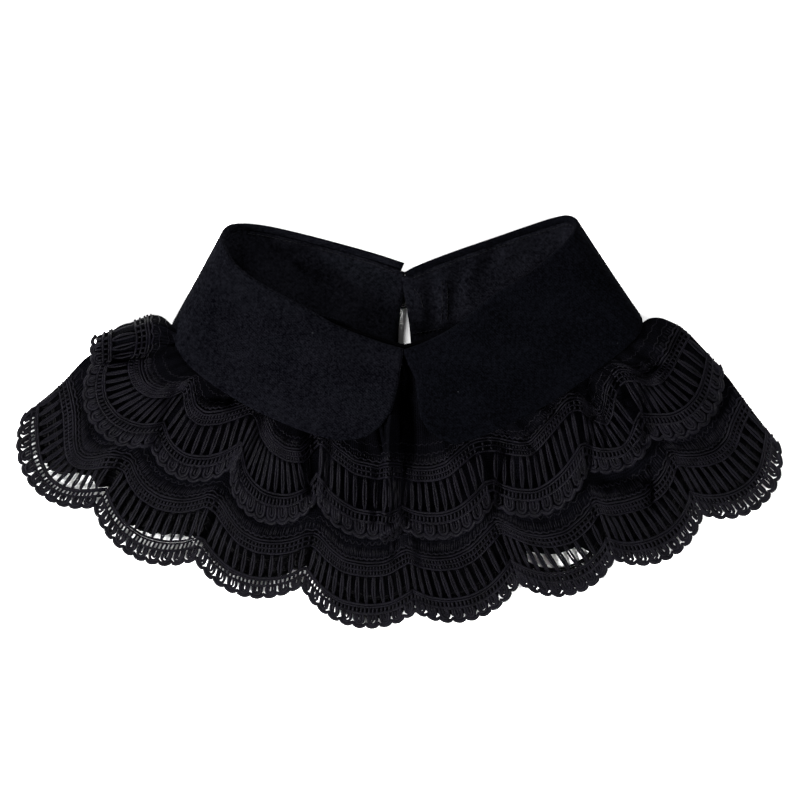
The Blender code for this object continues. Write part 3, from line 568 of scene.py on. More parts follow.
def make_leaf(name, rows, point, mat, cad):
    steps = 10
    count, at = leaf_sections(rows, point, steps)
    roll = ROLL_DEPTH / LEAF_WIDTH
    half = (LEAF_WALL + SEAM_GAP + STAND_WALL) / 2
    edge = [0.0, 0.05, 0.15, 0.35, 0.65, 1.0, 1.5, 2.2]
    w_mm = edge + [ROLL_DEPTH - 0.15, ROLL_DEPTH, ROLL_DEPTH + 0.35, 3.9] + list(np.linspace(5.2, LEAF_WIDTH - 2.6, 34)) \
        + [LEAF_WIDTH - d for d in (1.6, 1.0, 0.6, 0.3, 0.1, 0.0)]
    w = np.array(w_mm) / LEAF_WIDTH
    grid = at(w)
    n = normals(grid, (-8, 20))
    n[grid[:, :, 2] < 0.05] = (0.0, 0.0, -1.0)
    x, y = grid[..., 0], grid[..., 1]
    # handling of the cloth: shallow wave along the hem and soft creases
    soft = np.zeros_like(x)
    a = np.arange(count)[:, None] / steps
    soft += 0.30 * noise1(a * 1.7 + 3.0, 11) * smooth((w[None] - 0.35) / 0.6)
    soft += 0.22 * noise1(a * 3.9 + w[None] * 3.0, 12) * smooth((w[None] - 0.1) / 0.3)
    front = np.clip(n[..., 2], 0.0, 1.0)
    soft = soft * front + fold_lift(x, y, LEAF_CREASES) * front
    # a faint pucker along the edge seams
    pucker = 0.10 * np.sin(a * 26.0 + 2 * noise1(a * 5, 15)) * np.exp(-((w[None] * LEAF_WIDTH - 4.2) / 1.6) ** 2)
    hem_seam = -0.16 * np.exp(-(((1 - w[None]) * LEAF_WIDTH - 3.2) / 1.1) ** 2)
    pucker2 = 0.08 * np.sin(a * 21.0 + 2 * noise1(a * 4, 16)) * np.exp(-(((1 - w[None]) * LEAF_WIDTH - 2.4) / 1.5) ** 2)
    grid = grid + n * ((soft + (pucker + hem_seam + pucker2) * front)[..., None])
    # distance of each point from the leaf's borders, for their rounding
    d_hem = (1 - w[None]) * LEAF_WIDTH + np.zeros_like(x)
    step = np.linalg.norm(np.diff(grid, axis=0), axis=2)
    run = np.concatenate([np.zeros((1, grid.shape[1])), np.cumsum(step, axis=0)])
    d_end = np.minimum(run, run[-1:] - run)
    wall = LEAF_WALL / 2
    d = np.minimum(d_hem, d_end)
    inset = np.where(d < wall, wall - np.sqrt(np.maximum(wall ** 2 - (wall - d) ** 2, 0.0)), 0.0) * 0.94
    top_d = w[None] * LEAF_WIDTH + np.zeros_like(x)
    top_inset = np.where(top_d < half, half - np.sqrt(np.maximum(half ** 2 - (half - top_d) ** 2, 0.0)), 0.0) * 0.96
    deep = np.where(top_d <= ROLL_DEPTH + 1e-6, 2 * half, LEAF_WALL)
    inset = np.maximum(inset, top_inset)
    outer = grid - n * inset[..., None]
    inner = grid - n * (deep - inset)[..., None]
    verts, faces = shell(outer, inner)
    obj = add_mesh(name, verts, faces, [mat])
    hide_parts(cad)
    return obj, grid, n, count, at


left_leaf, left_grid, left_n, left_count, left_at = make_leaf(
    "leaf_left_cloth_shell", LEFT_LEAF, LEFT_POINT, LEFT_CLOTH_PAINTED_LIGHT, "collar_leaf_left")
right_leaf, right_grid, right_n, right_count, right_at = make_leaf(
    "leaf_right_cloth_shell", RIGHT_LEAF, RIGHT_POINT, RIGHT_CLOTH_PAINTED_SHADE, "collar_leaf_right")


# --------------------------------------------------------------- the stand
STAND_CREASES = [
    (-62.0, 90.0, -50.0, 80.0, 2.4, 0.9),
    (-56.0, 84.0, -44.0, 90.0, 2.2, -0.8),
    (-50.0, 82.0, -40.0, 74.0, 3.0, 1.1),
    (-46.0, 88.0, -30.0, 66.0, 4.0, -0.7),
    (-30.0, 82.0, -20.0, 58.0, 5.0, 0.8),
    (-14.0, 76.0, -10.0, 50.0, 5.0, -0.6),
    (9.5, 68.0, 11.0, 48.0, 2.6, 0.9),
    (15.0, 72.0, 17.0, 50.0, 3.0, -1.1),
    (22.5, 70.0, 22.0, 50.0, 3.4, 1.2),
    (30.0, 77.0, 27.0, 56.0, 3.8, -1.1),
    (39.0, 84.0, 33.0, 62.0, 4.0, 1.1),
    (48.0, 88.0, 38.0, 70.0, 4.0, -0.8),
    (60.0, 94.0, 52.0, 82.0, 3.6, 0.8),
]


def make_stand():
    roll = (ROLL_DEPTH + 0.35) / LEAF_WIDTH
    steps = 8
    rows_n = 22
    parts = []
    for rows, point, end, flip in ((LEFT_LEAF, LEFT_POINT, LEFT_STAND_END, False),
                                   (RIGHT_LEAF, RIGHT_POINT, RIGHT_STAND_END, True)):
        count, at = leaf_sections(rows, point, steps)
        a = np.arange(count) / (count - 1)
        low = STAND_BACK + (STAND_SIDE - STAND_BACK) * smooth((a - 0.15) / 0.4) \
            + (STAND_FRONT - STAND_SIDE) * smooth((a - 0.6) / 0.4) \
            + STAND_DIP * (1.0 - smooth(a / 0.10))
        fr = np.linspace(0, 1, rows_n)
        dense_w = np.linspace(0, 0.7, 71)
        dense = at(dense_w)
        grid = np.zeros((count, rows_n, 3))
        for i in range(count):
            ww = roll + (low[i] - roll) * fr
            for c in range(3):
                grid[i, :, c] = np.interp(ww, dense_w, dense[i, :, c])
        n = normals(grid, (-8, 4))
        n[grid[:, :, 2] < 0.05] = (0.0, 0.0, -1.0)
        # the end at centre back
        target = along(end, fr)
        for i in range(steps + 1):
            pull = 1.0 - i / steps
            grid[i, :, :2] += (target - grid[0, :, :2]) * pull if i else 0.0
        grid[0, :, :2] = target
        keep = count - 4
        parts.append((grid[:keep], n[:keep]) if not flip else (grid[:keep][::-1], n[:keep][::-1]))
    middle = np.zeros((1, rows_n, 3))
    fr = np.linspace(0, 1, rows_n)
    middle[0, :, 0] = 1.6
    middle[0, :, 1] = 36.9 - LEAF_WIDTH * (roll + (STAND_FRONT - roll) * fr)
    middle[0, :, 2] = 16.8
    grid = np.concatenate([parts[0][0], middle, parts[1][0]])
    up = np.zeros_like(middle)
    up[..., 2] = 1.0
    n = np.concatenate([parts[0][1], up, parts[1][1]])
    x, y = grid[..., 0], grid[..., 1]
    back = np.clip(-n[..., 2], 0.0, 1.0)
    soft = fold_lift(x, y, STAND_CREASES) * back
    grid = grid - n * soft[..., None]
    height = np.linspace(0, 1, rows_n)[None] * 34.0 + np.zeros_like(x)
    step = np.linalg.norm(np.diff(grid, axis=0), axis=2)
    run = np.concatenate([np.zeros((1, grid.shape[1])), np.cumsum(step, axis=0)])
    d = np.minimum(np.minimum(run, run[-1:] - run), np.minimum(height, 34.0 - height) + 0.25)
    wall = STAND_WALL / 2
    inset = np.where(d < wall, wall - np.sqrt(np.maximum(wall ** 2 - (wall - d) ** 2, 0.0)), 0.0) * 0.92
    base = LEAF_WALL + SEAM_GAP
    outer = grid - n * (base + inset)[..., None]
    inner = grid - n * (base + STAND_WALL - inset)[..., None]
    verts, faces = shell(outer, inner)
    obj = add_mesh("stand_cloth_shell", verts, faces, [STAND_CLOTH])
    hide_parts("collar_stand")
    return obj, inner, n


stand, stand_inner, stand_n = make_stand()


# ---------------------------------------------------------------- the lace
def arc_points(p0, pm, p1, t):
    (ax, ay), (bx, by), (cx, cy) = p0, pm, p1
    d = 2 * (ax * (by - cy) + bx * (cy - ay) + cx * (ay - by))
    ux = ((ax * ax + ay * ay) * (by - cy) + (bx * bx + by * by) * (cy - ay) + (cx * cx + cy * cy) * (ay - by)) / d
    uy = ((ax * ax + ay * ay) * (cx - bx) + (bx * bx + by * by) * (ax - cx) + (cx * cx + cy * cy) * (bx - ax)) / d
    a0 = math.atan2(ay - uy, ax - ux)
    am = math.atan2(by - uy, bx - ux)
    a1 = math.atan2(cy - uy, cx - ux)
    while a1 < a0:
        a1 += 2 * math.pi
    while am < a0:
        am += 2 * math.pi
    if am > a1:
        a1 -= 2 * math.pi
    r = math.hypot(ax - ux, ay - uy)
    a = a0 + (a1 - a0) * t
    return np.stack([ux + r * np.cos(a), uy + r * np.sin(a)], axis=-1), abs(a1 - a0) * r


def plan(x, y):
    """A place on the drawing's half-millimetre squares, in millimetres."""
    return (x - 400.5) * 0.5, (421.5 - y) * 0.5


def curve(rows, t, soft=14):
    """A soft curve through rows (part, square x, square y), read at t."""
    fine = np.linspace(0, 1, 201)
    mm = [plan(r[1], r[2]) for r in rows]
    parts = [r[0] for r in rows]
    p = np.stack([np.interp(fine, parts, [m[0] for m in mm]), np.interp(fine, parts, [m[1] for m in mm])], axis=-1)
    ext = np.concatenate([2 * p[0] - p[soft:0:-1], p, 2 * p[-1] - p[-2:-soft - 2:-1]])
    win = np.hanning(2 * soft + 1)
    win /= win.sum()
    p = np.stack([np.convolve(ext[:, c], win, mode="valid") for c in range(2)], axis=-1)
    return np.stack([np.interp(t, fine, p[:, 0]), np.interp(t, fine, p[:, 1])], axis=-1)


class Row:
    """A line across a tier, read by its distance from the hem."""

    def __init__(self, table):
        pts = np.array([(p[1], p[2]) for p in table])[::-1]
        fine = [pts[0]]
        for i in range(len(pts) - 1):
            for k in range(1, 9):
                fine.append(pts[i] + (pts[i + 1] - pts[i]) * k / 8)
        fine = np.array(fine)
        for _ in range(6 if len(pts) > 2 else 0):
            fine[1:-1] = (fine[:-2] + 2 * fine[1:-1] + fine[2:]) / 4
        # the seam reaches on under the stand at centre front
        tip = fine[-1]
        if abs(tip[0]) < 34.0:
            reach = 5.0 * math.exp(-(tip[0] / 22.0) ** 2)
            fine = np.concatenate([fine, [tip + unit(fine[-1] - fine[-2]) * reach]])
        self.pts = fine
        self.run = np.concatenate([[0.0], np.cumsum(np.linalg.norm(np.diff(fine, axis=0), axis=1))])
        self.length = self.run[-1]

    def at(self, d):
        return np.stack([np.interp(d, self.run, self.pts[:, 0]), np.interp(d, self.run, self.pts[:, 1])], axis=-1)


PATTERN = 35.0       # from the hem to the wave line on the ground's edge
RAIL = 25.0          # from the hem to the rail inside the bars
CUSP_PART = 0.92     # lace lying at a slope looks narrower by this

# the rail inside the bars, scallop by scallop: part along, squares x, y
UPPER_RAILS = [
    [(0, 136, 320), (0.5, 138, 338), (1, 133, 357)],
    [(0, 128, 360), (0.15, 129, 374), (0.35, 135, 388), (0.55, 149, 397), (0.8, 170, 397), (1, 188, 388)],
    [(0, 184, 402), (0.2, 189, 417), (0.4, 200, 425), (0.62, 219, 424), (0.85, 239, 418), (1, 254, 411)],
    [(0, 255, 415), (0.25, 261, 436), (0.5, 271, 451), (0.75, 287, 461), (1, 308, 463)],
    [(0, 319, 441), (0.35, 334, 458), (0.7, 355, 474), (1, 382, 480)],
    [(0, 383, 478), (0.5, 391, 476), (1, 401, 478)],
    [(0, 402, 478), (0.2, 416, 481), (0.42, 434, 481), (0.62, 449, 476), (0.8, 461, 465), (1, 480, 449)],
    [(0, 492, 450), (0.2, 512, 455), (0.42, 531, 456), (0.56, 541, 446), (0.7, 551, 434), (0.85, 562, 420), (1, 574, 407)],
    [(0, 580, 410), (0.3, 592, 420), (0.6, 608, 426), (0.8, 613, 414), (1, 615, 394)],
    [(0, 621, 381), (0.14, 635, 381), (0.32, 649, 386), (0.5, 661, 383), (0.66, 671, 373), (0.82, 679, 357), (1, 690, 335)],
]
LOWER_RAILS = [
    [(0, 57, 386), (0.22, 62.5, 418), (0.42, 63, 446), (0.55, 66, 461), (0.7, 76, 469), (0.85, 92, 469), (1, 107, 466)],
    [(0, 122, 466), (0.15, 128, 484), (0.32, 138, 498), (0.5, 155, 509), (0.7, 177, 513), (0.86, 196, 510), (1, 211, 504)],
    [(0, 216, 514), (0.2, 226, 530), (0.38, 238, 544), (0.56, 255, 553), (0.75, 276, 555), (0.9, 295, 552), (1, 308, 543)],
    [(0, 313, 545), (0.2, 327, 561), (0.4, 343, 573), (0.6, 365, 577), (0.8, 387, 576), (1, 408, 563)],
    [(0, 409, 562), (0.18, 421, 568), (0.36, 439, 571), (0.56, 459, 569), (0.75, 477, 560), (1, 499, 536)],
    [(0, 500, 532), (0.2, 514, 538), (0.38, 530, 545), (0.56, 551, 548), (0.76, 574, 543), (1, 597, 522)],
    [(0, 598, 512), (0.2, 612, 516), (0.45, 633, 512), (0.65, 652, 506), (0.84, 668, 491), (1, 677, 474)],
    [(0, 676, 464), (0.16, 690, 467), (0.34, 709, 466), (0.52, 726, 460), (0.68, 738, 448), (0.84, 743, 430), (1, 752, 409)],
]


def ridges(x, y, table):
    """Soft ridges and troughs: from, to (squares), half width and height (mm)."""
    out = np.zeros_like(x)
    for ax, ay, bx, by, width, high in table:
        x0, y0 = plan(ax, ay)
        x1, y1 = plan(bx, by)
        dx, dy = x1 - x0, y1 - y0
        length = max(math.hypot(dx, dy), 0.1)
        t = ((x - x0) * dx + (y - y0) * dy) / (length * length)
        past = np.maximum(np.maximum(-t, t - 1.0), 0.0) * length
        side = ((x - x0) * dy - (y - y0) * dx) / length
        out = out + high * np.exp(-(side ** 2 + (past * 0.8) ** 2) / (width * width))
    return out


def steps_of(x, y, table):
    """Overlaps: the cloth left of the line, looking along it, lies higher."""
    out = np.zeros_like(x)
    for ax, ay, bx, by, edge, reach, high in table:
        x0, y0 = plan(ax, ay)
        x1, y1 = plan(bx, by)
        dx, dy = x1 - x0, y1 - y0
        length = math.hypot(dx, dy)
        t = ((x - x0) * dx + (y - y0) * dy) / (length * length)
        past = np.maximum(np.maximum(-t, t - 1.0), 0.0) * length
        side = -((x - x0) * dy - (y - y0) * dx) / length
        rise = smooth(side / edge + 0.5) * np.exp(-(np.maximum(side, 0.0) / reach) ** 2)
        out = out + high * rise * np.exp(-(past / 4.0) ** 2)
    return out


#   from x    y    to x    y   half width  height
UPPER_RIDGES = [
    (104, 343, 166, 324, 7.0, 3.6),
    (120, 357, 172, 341, 2.6, -5.0),
    (132, 372, 150, 384, 4.0, 1.6),
    (178, 392, 158, 442, 3.2, -3.4),
    (204, 392, 228, 396, 5.0, -3.6),
    (196, 412, 222, 412, 3.0, 1.6),
    (255, 424, 238, 466, 2.6, 2.2),
    (276, 446, 262, 490, 6.0, 1.4),
    (309, 428, 311, 492, 3.6, -5.6),
    (322, 440, 321, 488, 2.0, 3.0),
    (344, 452, 338, 516, 6.0, 1.2),
    (391, 416, 385, 512, 1.8, 7.2),
    (378, 470, 376, 520, 2.0, -2.0),
    (376, 541, 400, 521, 1.9, 3.2),
    (386, 545, 403, 534, 2.0, -2.2),
    (401, 408, 403, 464, 4.6, -3.6),
    (404, 464, 405, 520, 2.6, -1.6),
    (425, 455, 425, 500, 4.0, -1.4),
    (456, 470, 470, 512, 7.0, 1.8),
    (506, 436, 497, 506, 2.8, -4.2),
    (520, 446, 500, 442, 4.0, -2.2),
    (556, 440, 566, 474, 8.0, 1.6),
    (590, 384, 592, 414, 3.2, -5.0),
    (594, 430, 588, 474, 2.2, -1.6),
    (604, 392, 606, 440, 3.0, -2.6),
    (622, 457, 656, 452, 3.4, 3.2),
    (637, 386, 636, 440, 1.8, 3.2),
    (618, 372, 606, 392, 4.0, -3.4),
    (644, 367, 655, 363, 4.0, -7.0),
    (643, 344, 660, 348, 3.2, 3.4),
    (663, 352, 657, 382, 2.6, 2.2),
    (690, 372, 690, 412, 9.0, 1.8),
]
UPPER_STEPS = [
    (534, 456, 523, 440, 1.2, 14.0, 2.6),
    (523, 440, 545, 420, 1.6, 14.0, 3.0),
    (545, 420, 572, 399, 1.6, 14.0, 3.2),
    (236, 468, 256, 424, 1.4, 10.0, 1.6),
    (317, 500, 320, 442, 1.4, 9.0, 1.8),
    (588, 471, 582, 418, 1.4, 9.0, 1.2),
    (640, 432, 634, 400, 1.4, 12.0, 1.6),
]
LOWER_RIDGES = [
    (71, 382, 70, 458, 3.0, 1.5),
    (48, 420, 60, 450, 6.0, -0.8),
    (90, 402, 96, 442, 3.4, -1.6),
    (84, 458, 118, 460, 3.0, 1.2),
    (120, 468, 100, 500, 2.6, -1.0),
    (150, 492, 172, 500, 4.0, 1.1),
    (214, 500, 204, 536, 3.0, 1.4),
    (240, 520, 268, 536, 4.0, 0.9),
    (312, 535, 302, 565, 2.6, -1.2),
    (409, 528, 412, 566, 2.8, 2.0),
    (404, 400, 405, 524, 4.6, -2.6),
    (398, 540, 396, 556, 2.2, -1.6),
    (440, 548, 462, 550, 4.0, -1.0),
    (498, 530, 510, 560, 3.0, -1.4),
    (540, 530, 556, 534, 4.0, 1.0),
    (604, 480, 650, 476, 3.6, -3.4),
    (651, 468, 653, 504, 2.0, -3.4),
    (640, 496, 610, 500, 3.6, 1.8),
    (612, 530, 612, 556, 3.0, 1.2),
    (668, 446, 716, 440, 4.0, -1.8),
    (734, 410, 728, 448, 3.4, 1.0),
]


def lower_top(x, y):
    room = heights(x, y)[1]
    a = np.degrees(np.arctan2(x - FAN[0], FAN[1] - y))
    wave = 0.5 + 0.5 * np.sin(a * 0.42 + 1.1 * np.sin(a * 0.11) + 1.0)
    z = lower_floor(x, y) + room * (0.25 + 0.5 * wave) + 0.6
    return np.maximum(z + 1.3 * ridges(x, y, LOWER_RIDGES) * np.minimum(1.0, room / 1.4), 0.95)


def upper_top(x, y):
    room = heights(x, y)[2]
    a = np.degrees(np.arctan2(x - FAN[0], FAN[1] - y))
    wave = 0.5 + 0.5 * np.sin(a * 0.36 + 1.3 * np.sin(a * 0.13) + 2.0)
    z = upper_floor(x, y) + room * (0.35 + 0.35 * wave) + 1.1
    z = z + 1.35 * ridges(x, y, UPPER_RIDGES) + steps_of(x, y, UPPER_STEPS)
    return np.maximum(z, lower_top(x, y) + 1.1)


class Tier:
    """A tier's surface, read by u (scallops along) and D (mm in from the hem)."""

    per = 44
    step = 0.8

    def __init__(self, rows, scallops, rails, z_of, inset=None, seed=1):
        self.n = len(scallops)
        rows = [Row(r) for r in rows]
        self.dmax = 120.0
        ds = np.concatenate([[-2.4, -1.6, -0.8], np.arange(0.0, self.dmax + 1e-6, self.step)])
        us = np.linspace(0, self.n, self.n * self.per + 1)
        self.us, self.ds = us, ds
        P = np.zeros((len(us), len(ds), 2))
        self.arc_len = np.zeros(self.n)
        beyond = np.clip((ds - PATTERN) / (self.dmax - PATTERN), 0.0, 1.0)
        for iu, u in enumerate(us):
            k = min(int(u), self.n - 1)
            t = u - k
            a, b = rows[k], rows[k + 1]
            p0, p1 = a.pts[0], b.pts[0]
            hem, arc_len = arc_points(p0, (scallops[k][4], scallops[k][5]), p1, t)
            self.arc_len[k] = arc_len
            rail = curve(rails[k], t)
            bulge = hem - (p0 + (p1 - p0) * t)
            lead = PATTERN * CUSP_PART
            dd = lead + beyond * np.maximum(np.array([[a.length], [b.length]]) - lead, 5.0)
            old = a.at(dd[0]) * (1 - t) + b.at(dd[1]) * t + bulge[None] * ((1.0 - beyond) ** 2)[:, None] * 0.3
            way = unit(rail - hem)
            # the band narrows a little towards the wave line
            wave = rail + way * (PATTERN - RAIL) * CUSP_PART
            part = hem + (rail - hem) * (ds / RAIL)[:, None]
            band = rail + (wave - rail) * ((ds - RAIL) / (PATTERN - RAIL))[:, None]
            ground = old + (wave - old[np.searchsorted(ds, PATTERN)]) * ((1.0 - beyond) ** 2)[:, None]
            P[iu] = np.where((ds <= RAIL)[:, None], part, np.where((ds <= PATTERN)[:, None], band, ground))
        # the two ends keep to the folds at the sides
        for end, row in ((0, rows[0]), (self.n, rows[-1])):
            lead = PATTERN * CUSP_PART
            d = np.where(ds <= PATTERN, ds * CUSP_PART, lead + beyond * max(row.length - lead, 5.0))
            edge = row.at(np.maximum(d, 0.0))
            out = unit(row.pts[0] - row.pts[2])
            edge = edge + np.where(d < 0, -d, 0.0)[:, None] * out
            w = np.clip(1.0 - np.abs(us - end) / 0.22, 0.0, 1.0)
            w = smooth(w)[:, None, None]
            base = P[0] if end == 0 else P[-1]
            P += w * (edge - base)[None]
        # soften the kinks where scallops and bands meet, away from the hem
        soft = P.copy()
        for _ in range(3):
            soft[1:-1] = (soft[:-2] + 2 * soft[1:-1] + soft[2:]) / 4
        w = smooth((ds - 12.0) / 14.0)[None, :, None]
        P = P * (1 - w) + soft * w
        if inset is not None:
            # draw the whole tier in from its hem, as the lower layer lies
            shift = np.array([inset(u) for u in us])
            new = np.zeros_like(P)
            for iu in range(len(us)):
                q = ds + shift[iu] * (1.0 - beyond)
                for c in range(2):
                    new[iu, :, c] = np.interp(q, ds, P[iu, :, c])
            P = new
        self.P = P
        x, y = P[..., 0], P[..., 1]
        U = us[:, None] + np.zeros_like(x)
        Dd = ds[None] + np.zeros_like(x)
        z = z_of(U, Dd, x, y)
        G = np.stack([x, y, z], axis=-1)
        self.G = G
        n = unit(np.cross(np.gradient(G, axis=1), np.gradient(G, axis=0)))
        n[n[..., 2] < 0] *= -1
        self.N = unit(n + np.array([0, 0, 0.25]))

    def read(self, u, D):
        u = np.clip(u, 0.0, self.n - 1e-6)
        fu = u * self.per
        iu = np.minimum(fu.astype(int), len(self.us) - 2)
        fu = (fu - iu)[..., None]
        idx = np.interp(D, self.ds, np.arange(len(self.ds)))
        jd = np.minimum(idx.astype(int), len(self.ds) - 2)
        fd = (idx - jd)[..., None]

        def mix(T):
            return (T[iu, jd] * (1 - fu) * (1 - fd) + T[iu + 1, jd] * fu * (1 - fd)
                    + T[iu, jd + 1] * (1 - fu) * fd + T[iu + 1, jd + 1] * fu * fd)

        return mix(self.G), unit(mix(self.N))


def lace_strands(tier, seed, sides=6, inner=True):
    """One charted scallop of guipure, laid along the whole tier."""
    tubes = Tubes()
    rng = np.random.RandomState(seed)

    def put(u, D, radius, h=0.0, flat=0.85, sd=None):
        """u, D (m, k): strands in lace coordinates."""
        ok = (u.min(axis=1) >= -1e-6) & (u.max(axis=1) <= tier.n + 1e-6)
        if not ok.any():
            return
        u, D = u[ok], D[ok]
        pts, up = tier.read(u, D)
        hh = h if np.isscalar(h) else np.broadcast_to(h, (len(ok), u.shape[1]))[ok][..., None]
        r = radius if np.isscalar(radius) else np.broadcast_to(radius, (len(ok), u.shape[1]))[ok]
        tubes.add(pts + up * hh, up, r, flat, sd or sides)

    for k in range(tier.n):
        arc = tier.arc_len[k]
        picots = max(3, int(round(arc / 6.5)))
        bars = max(4, int(round(arc / 5.0)))
        scale = 1.0 / arc
        few = sides == 4

        def cord(D_of, radius, m, h=0.0, flat=0.85):
            t = np.linspace(0, 1, m)
            put((k + t)[None], D_of(t)[None], radius, h, flat)

        def ticks(low, high, pitch, radius, h, slant=0.0, m=3):
            count = max(2, int(round(arc / pitch)))
            j = np.arange(count)[:, None]
            s = np.linspace(0, 1, m)[None]
            put(k + (j + 0.5) / count + ((s - 0.5) * slant + rng.uniform(-0.12, 0.12, (count, 1))) * scale,
                low + (high - low) * s + np.zeros_like(j), radius, h + rng.uniform(-0.08, 0.08, (count, 1)) + 0 * s)

        # picot edge: a thick cord in small outward arcs
        cord(lambda t: 2.35 - 1.45 * np.abs(np.sin(math.pi * picots * t)) ** 0.7, 1.08, picots * 7 + 1, 0.15)
        # U loops, one to a picot: an outer cord and a small tongue inside it
        for rad, r, low in ((2.2, 0.86, 2.2), (0.84, 0.62, 3.5)):
            a = np.linspace(-math.pi / 2, math.pi / 2, 5 if few else 7)
            j = np.arange(picots)[:, None]
            wob = rng.uniform(-0.25, 0.25, (picots, 1))
            lat = np.concatenate([[-0.9], [-1.0], np.sin(a), [1.0], [0.9]]) * rad
            dep = np.concatenate([[7.0, low + rad + 0.8], low + rad - np.cos(a) * rad, [low + rad + 0.8, 7.0]])
            put(k + (j + 0.5) / picots + (lat[None] + wob) * scale, dep[None] + rng.uniform(-0.15, 0.15, (picots, 1)),
                r, 0.2 + rng.uniform(-0.15, 0.25, (picots, 1)) + 0 * lat[None])
        # rails and the row of ticks between them
        cord(lambda t: 7.15 + 0 * t, 0.72, 30, 0.25)
        ticks(7.3, 10.2, 2.2, 0.62, 0.1, 0.3)
        cord(lambda t: 10.35 + 0 * t, 0.52, 30, 0.25)
        cord(lambda t: 11.45 + 0 * t, 0.56, 30, 0.35)
        # spindle bars: two threads that part in the middle
        j = np.arange(bars)[:, None]
        s = np.linspace(0, 1, 5 if few else 7)[None]
        lean = rng.uniform(-0.5, 0.5, (bars, 1))
        body = rng.uniform(0.40, 0.62, (bars, 1))
        sway = rng.uniform(-0.35, 0.35, (bars, 1))
        for sign in (-1.0, 1.0):
            lat = sign * (0.16 + 0.16 * s + body * np.sin(math.pi * s ** 0.8) ** 0.9) + lean * np.sin(math.pi * s) + sway * (s - 0.5)
            put(k + (j + 0.5) / bars + lat * scale, 11.6 + 13.4 * s + np.zeros_like(j),
                0.46 + 0.12 * np.sin(math.pi * s) + np.zeros_like(j),
                0.1 + 0.5 * np.sin(math.pi * s) * rng.uniform(0.1, 1.0, (bars, 1)))
        if not inner:
            continue
        # inner rail, two rows of ticks between rails
        cord(lambda t: 25.2 + 0 * t, 0.58, 30, 0.3)
        ticks(25.4, 27.9, 2.05, 0.52, 0.15)
        cord(lambda t: 28.1 + 0 * t, 0.48, 30, 0.3)
        ticks(28.3, 30.6, 2.05, 0.52, 0.15)
        cord(lambda t: 30.9 + 0 * t, 0.52, 30, 0.35)
        cord(lambda t: 32.5 + 0 * t, 0.58, 30, 0.45)
        # wave line on the edge of the ground
        waves = max(3, int(round(arc / 3.5)))
        cord(lambda t: 34.5 + 0.6 * np.sin(2 * math.pi * waves * t), 0.52, waves * 5 + 1, 0.4)
        if few:
            continue
        # short threads fanning into the ground, and fainter waves beyond
        count = int(round(arc / 1.25))
        j = np.arange(count)[:, None]
        s = np.linspace(0, 1, 3)[None]
        put(k + (j + 0.5) / count + (rng.uniform(-0.3, 0.3, (count, 1)) + rng.uniform(-0.5, 0.5, (count, 1)) * s) * scale,
            35.2 + rng.uniform(3.0, 5.4, (count, 1)) * s, 0.28, 0.12 + 0.2 * np.sin(math.pi * s) + np.zeros_like(j), sd=4)
        waves = max(3, int(round(arc / 4.6)))
        for low, r in ((41.2, 0.28), (49.0, 0.20)):
            phase = rng.uniform(0, 6)
            cord(lambda t, low=low, phase=phase: low + 0.8 * np.sin(2 * math.pi * waves * t + phase)
                 + 0.7 * noise1(t * 5 + phase, seed), r, waves * 5 + 1, 0.22)
    return tubes


def net_sheet(name, tier, mat, d0, d1, wall=0.5, drop=0.0):
    """Close net ground up to the seam: a thin shell. d0 gives the distance from
    the hem at which it starts; drop lets the part under the openwork lie lower."""
    starts = d0(tier.us) if callable(d0) else np.full(len(tier.us), float(d0))
    m = int((d1 - starts.min()) / (0.9 if starts.min() > 20.0 else 1.15))
    D = starts[:, None] + (d1 - starts)[:, None] * np.linspace(0, 1, m)[None]
    U = tier.us[:, None] + np.zeros_like(D)
    G, N = tier.read(U, D)
    if drop:
        G = G - N * (drop * smooth((35.5 - D) / 4.0))[..., None]
    top = G + N * wall / 2
    bottom = G - N * wall / 2
    verts, faces = shell(top, bottom)
    run_u = np.concatenate([[0.0], np.cumsum(np.linalg.norm(np.diff(G[:, 0], axis=0), axis=1))])
    uu = run_u[:, None] + np.zeros(G.shape[:2])
    uv = np.stack([uu, D], axis=-1).reshape(-1, 2)
    uv = np.concatenate([uv, uv])
    return add_mesh(name, verts, faces, [mat], uv=uv)


def tier_rows(left, scallops, right, second=None):
    rows = [left]
    for k, s in enumerate(scallops):
        if k == len(scallops) - 1:
            rows.append(right)
        elif k == 0 and second:
            rows.append(second)
        else:
            rows.append([(0.0, s[0], s[1]), (1.0, s[2], s[3])])
    return rows


def upper_z(u, D, x, y):
    edge = smooth(np.minimum(u, len(UPPER_SCALLOPS) - u) / 0.25)
    low = lower_top(x, y) + 0.9
    top = upper_top(x, y)
    z = low + (top - low) * (0.35 + 0.65 * edge)
    # small gathers running down from the seam
    gather = 0.7 * np.sin(u * 2 * math.pi * 3.7 + 1.5 * noise1(u * 2.1, 31)) * smooth((D - 26.0) / 22.0)
    curl = 0.9 * np.exp(-(D / 5.0) ** 2) * (0.3 + 0.7 * noise1(u * 1.9, 35))
    return np.maximum(z + gather + curl, lower_top(x, y) + 0.8)


def lower_z(u, D, x, y):
    edge = smooth(np.minimum(u, len(LOWER_SCALLOPS) - u) / 0.25)
    base = lower_floor(x, y) + 0.5
    z = base + (lower_top(x, y) - base) * (0.35 + 0.65 * edge)
    gather = 0.5 * np.sin(u * 2 * math.pi * 3.3 + 1.5 * noise1(u * 1.7, 33)) * smooth((D - 30.0) / 25.0)
    curl = 0.6 * np.exp(-(D / 5.0) ** 2) * (0.3 + 0.7 * noise1(u * 1.7, 37))
    return np.maximum(z + gather + curl, 0.95)


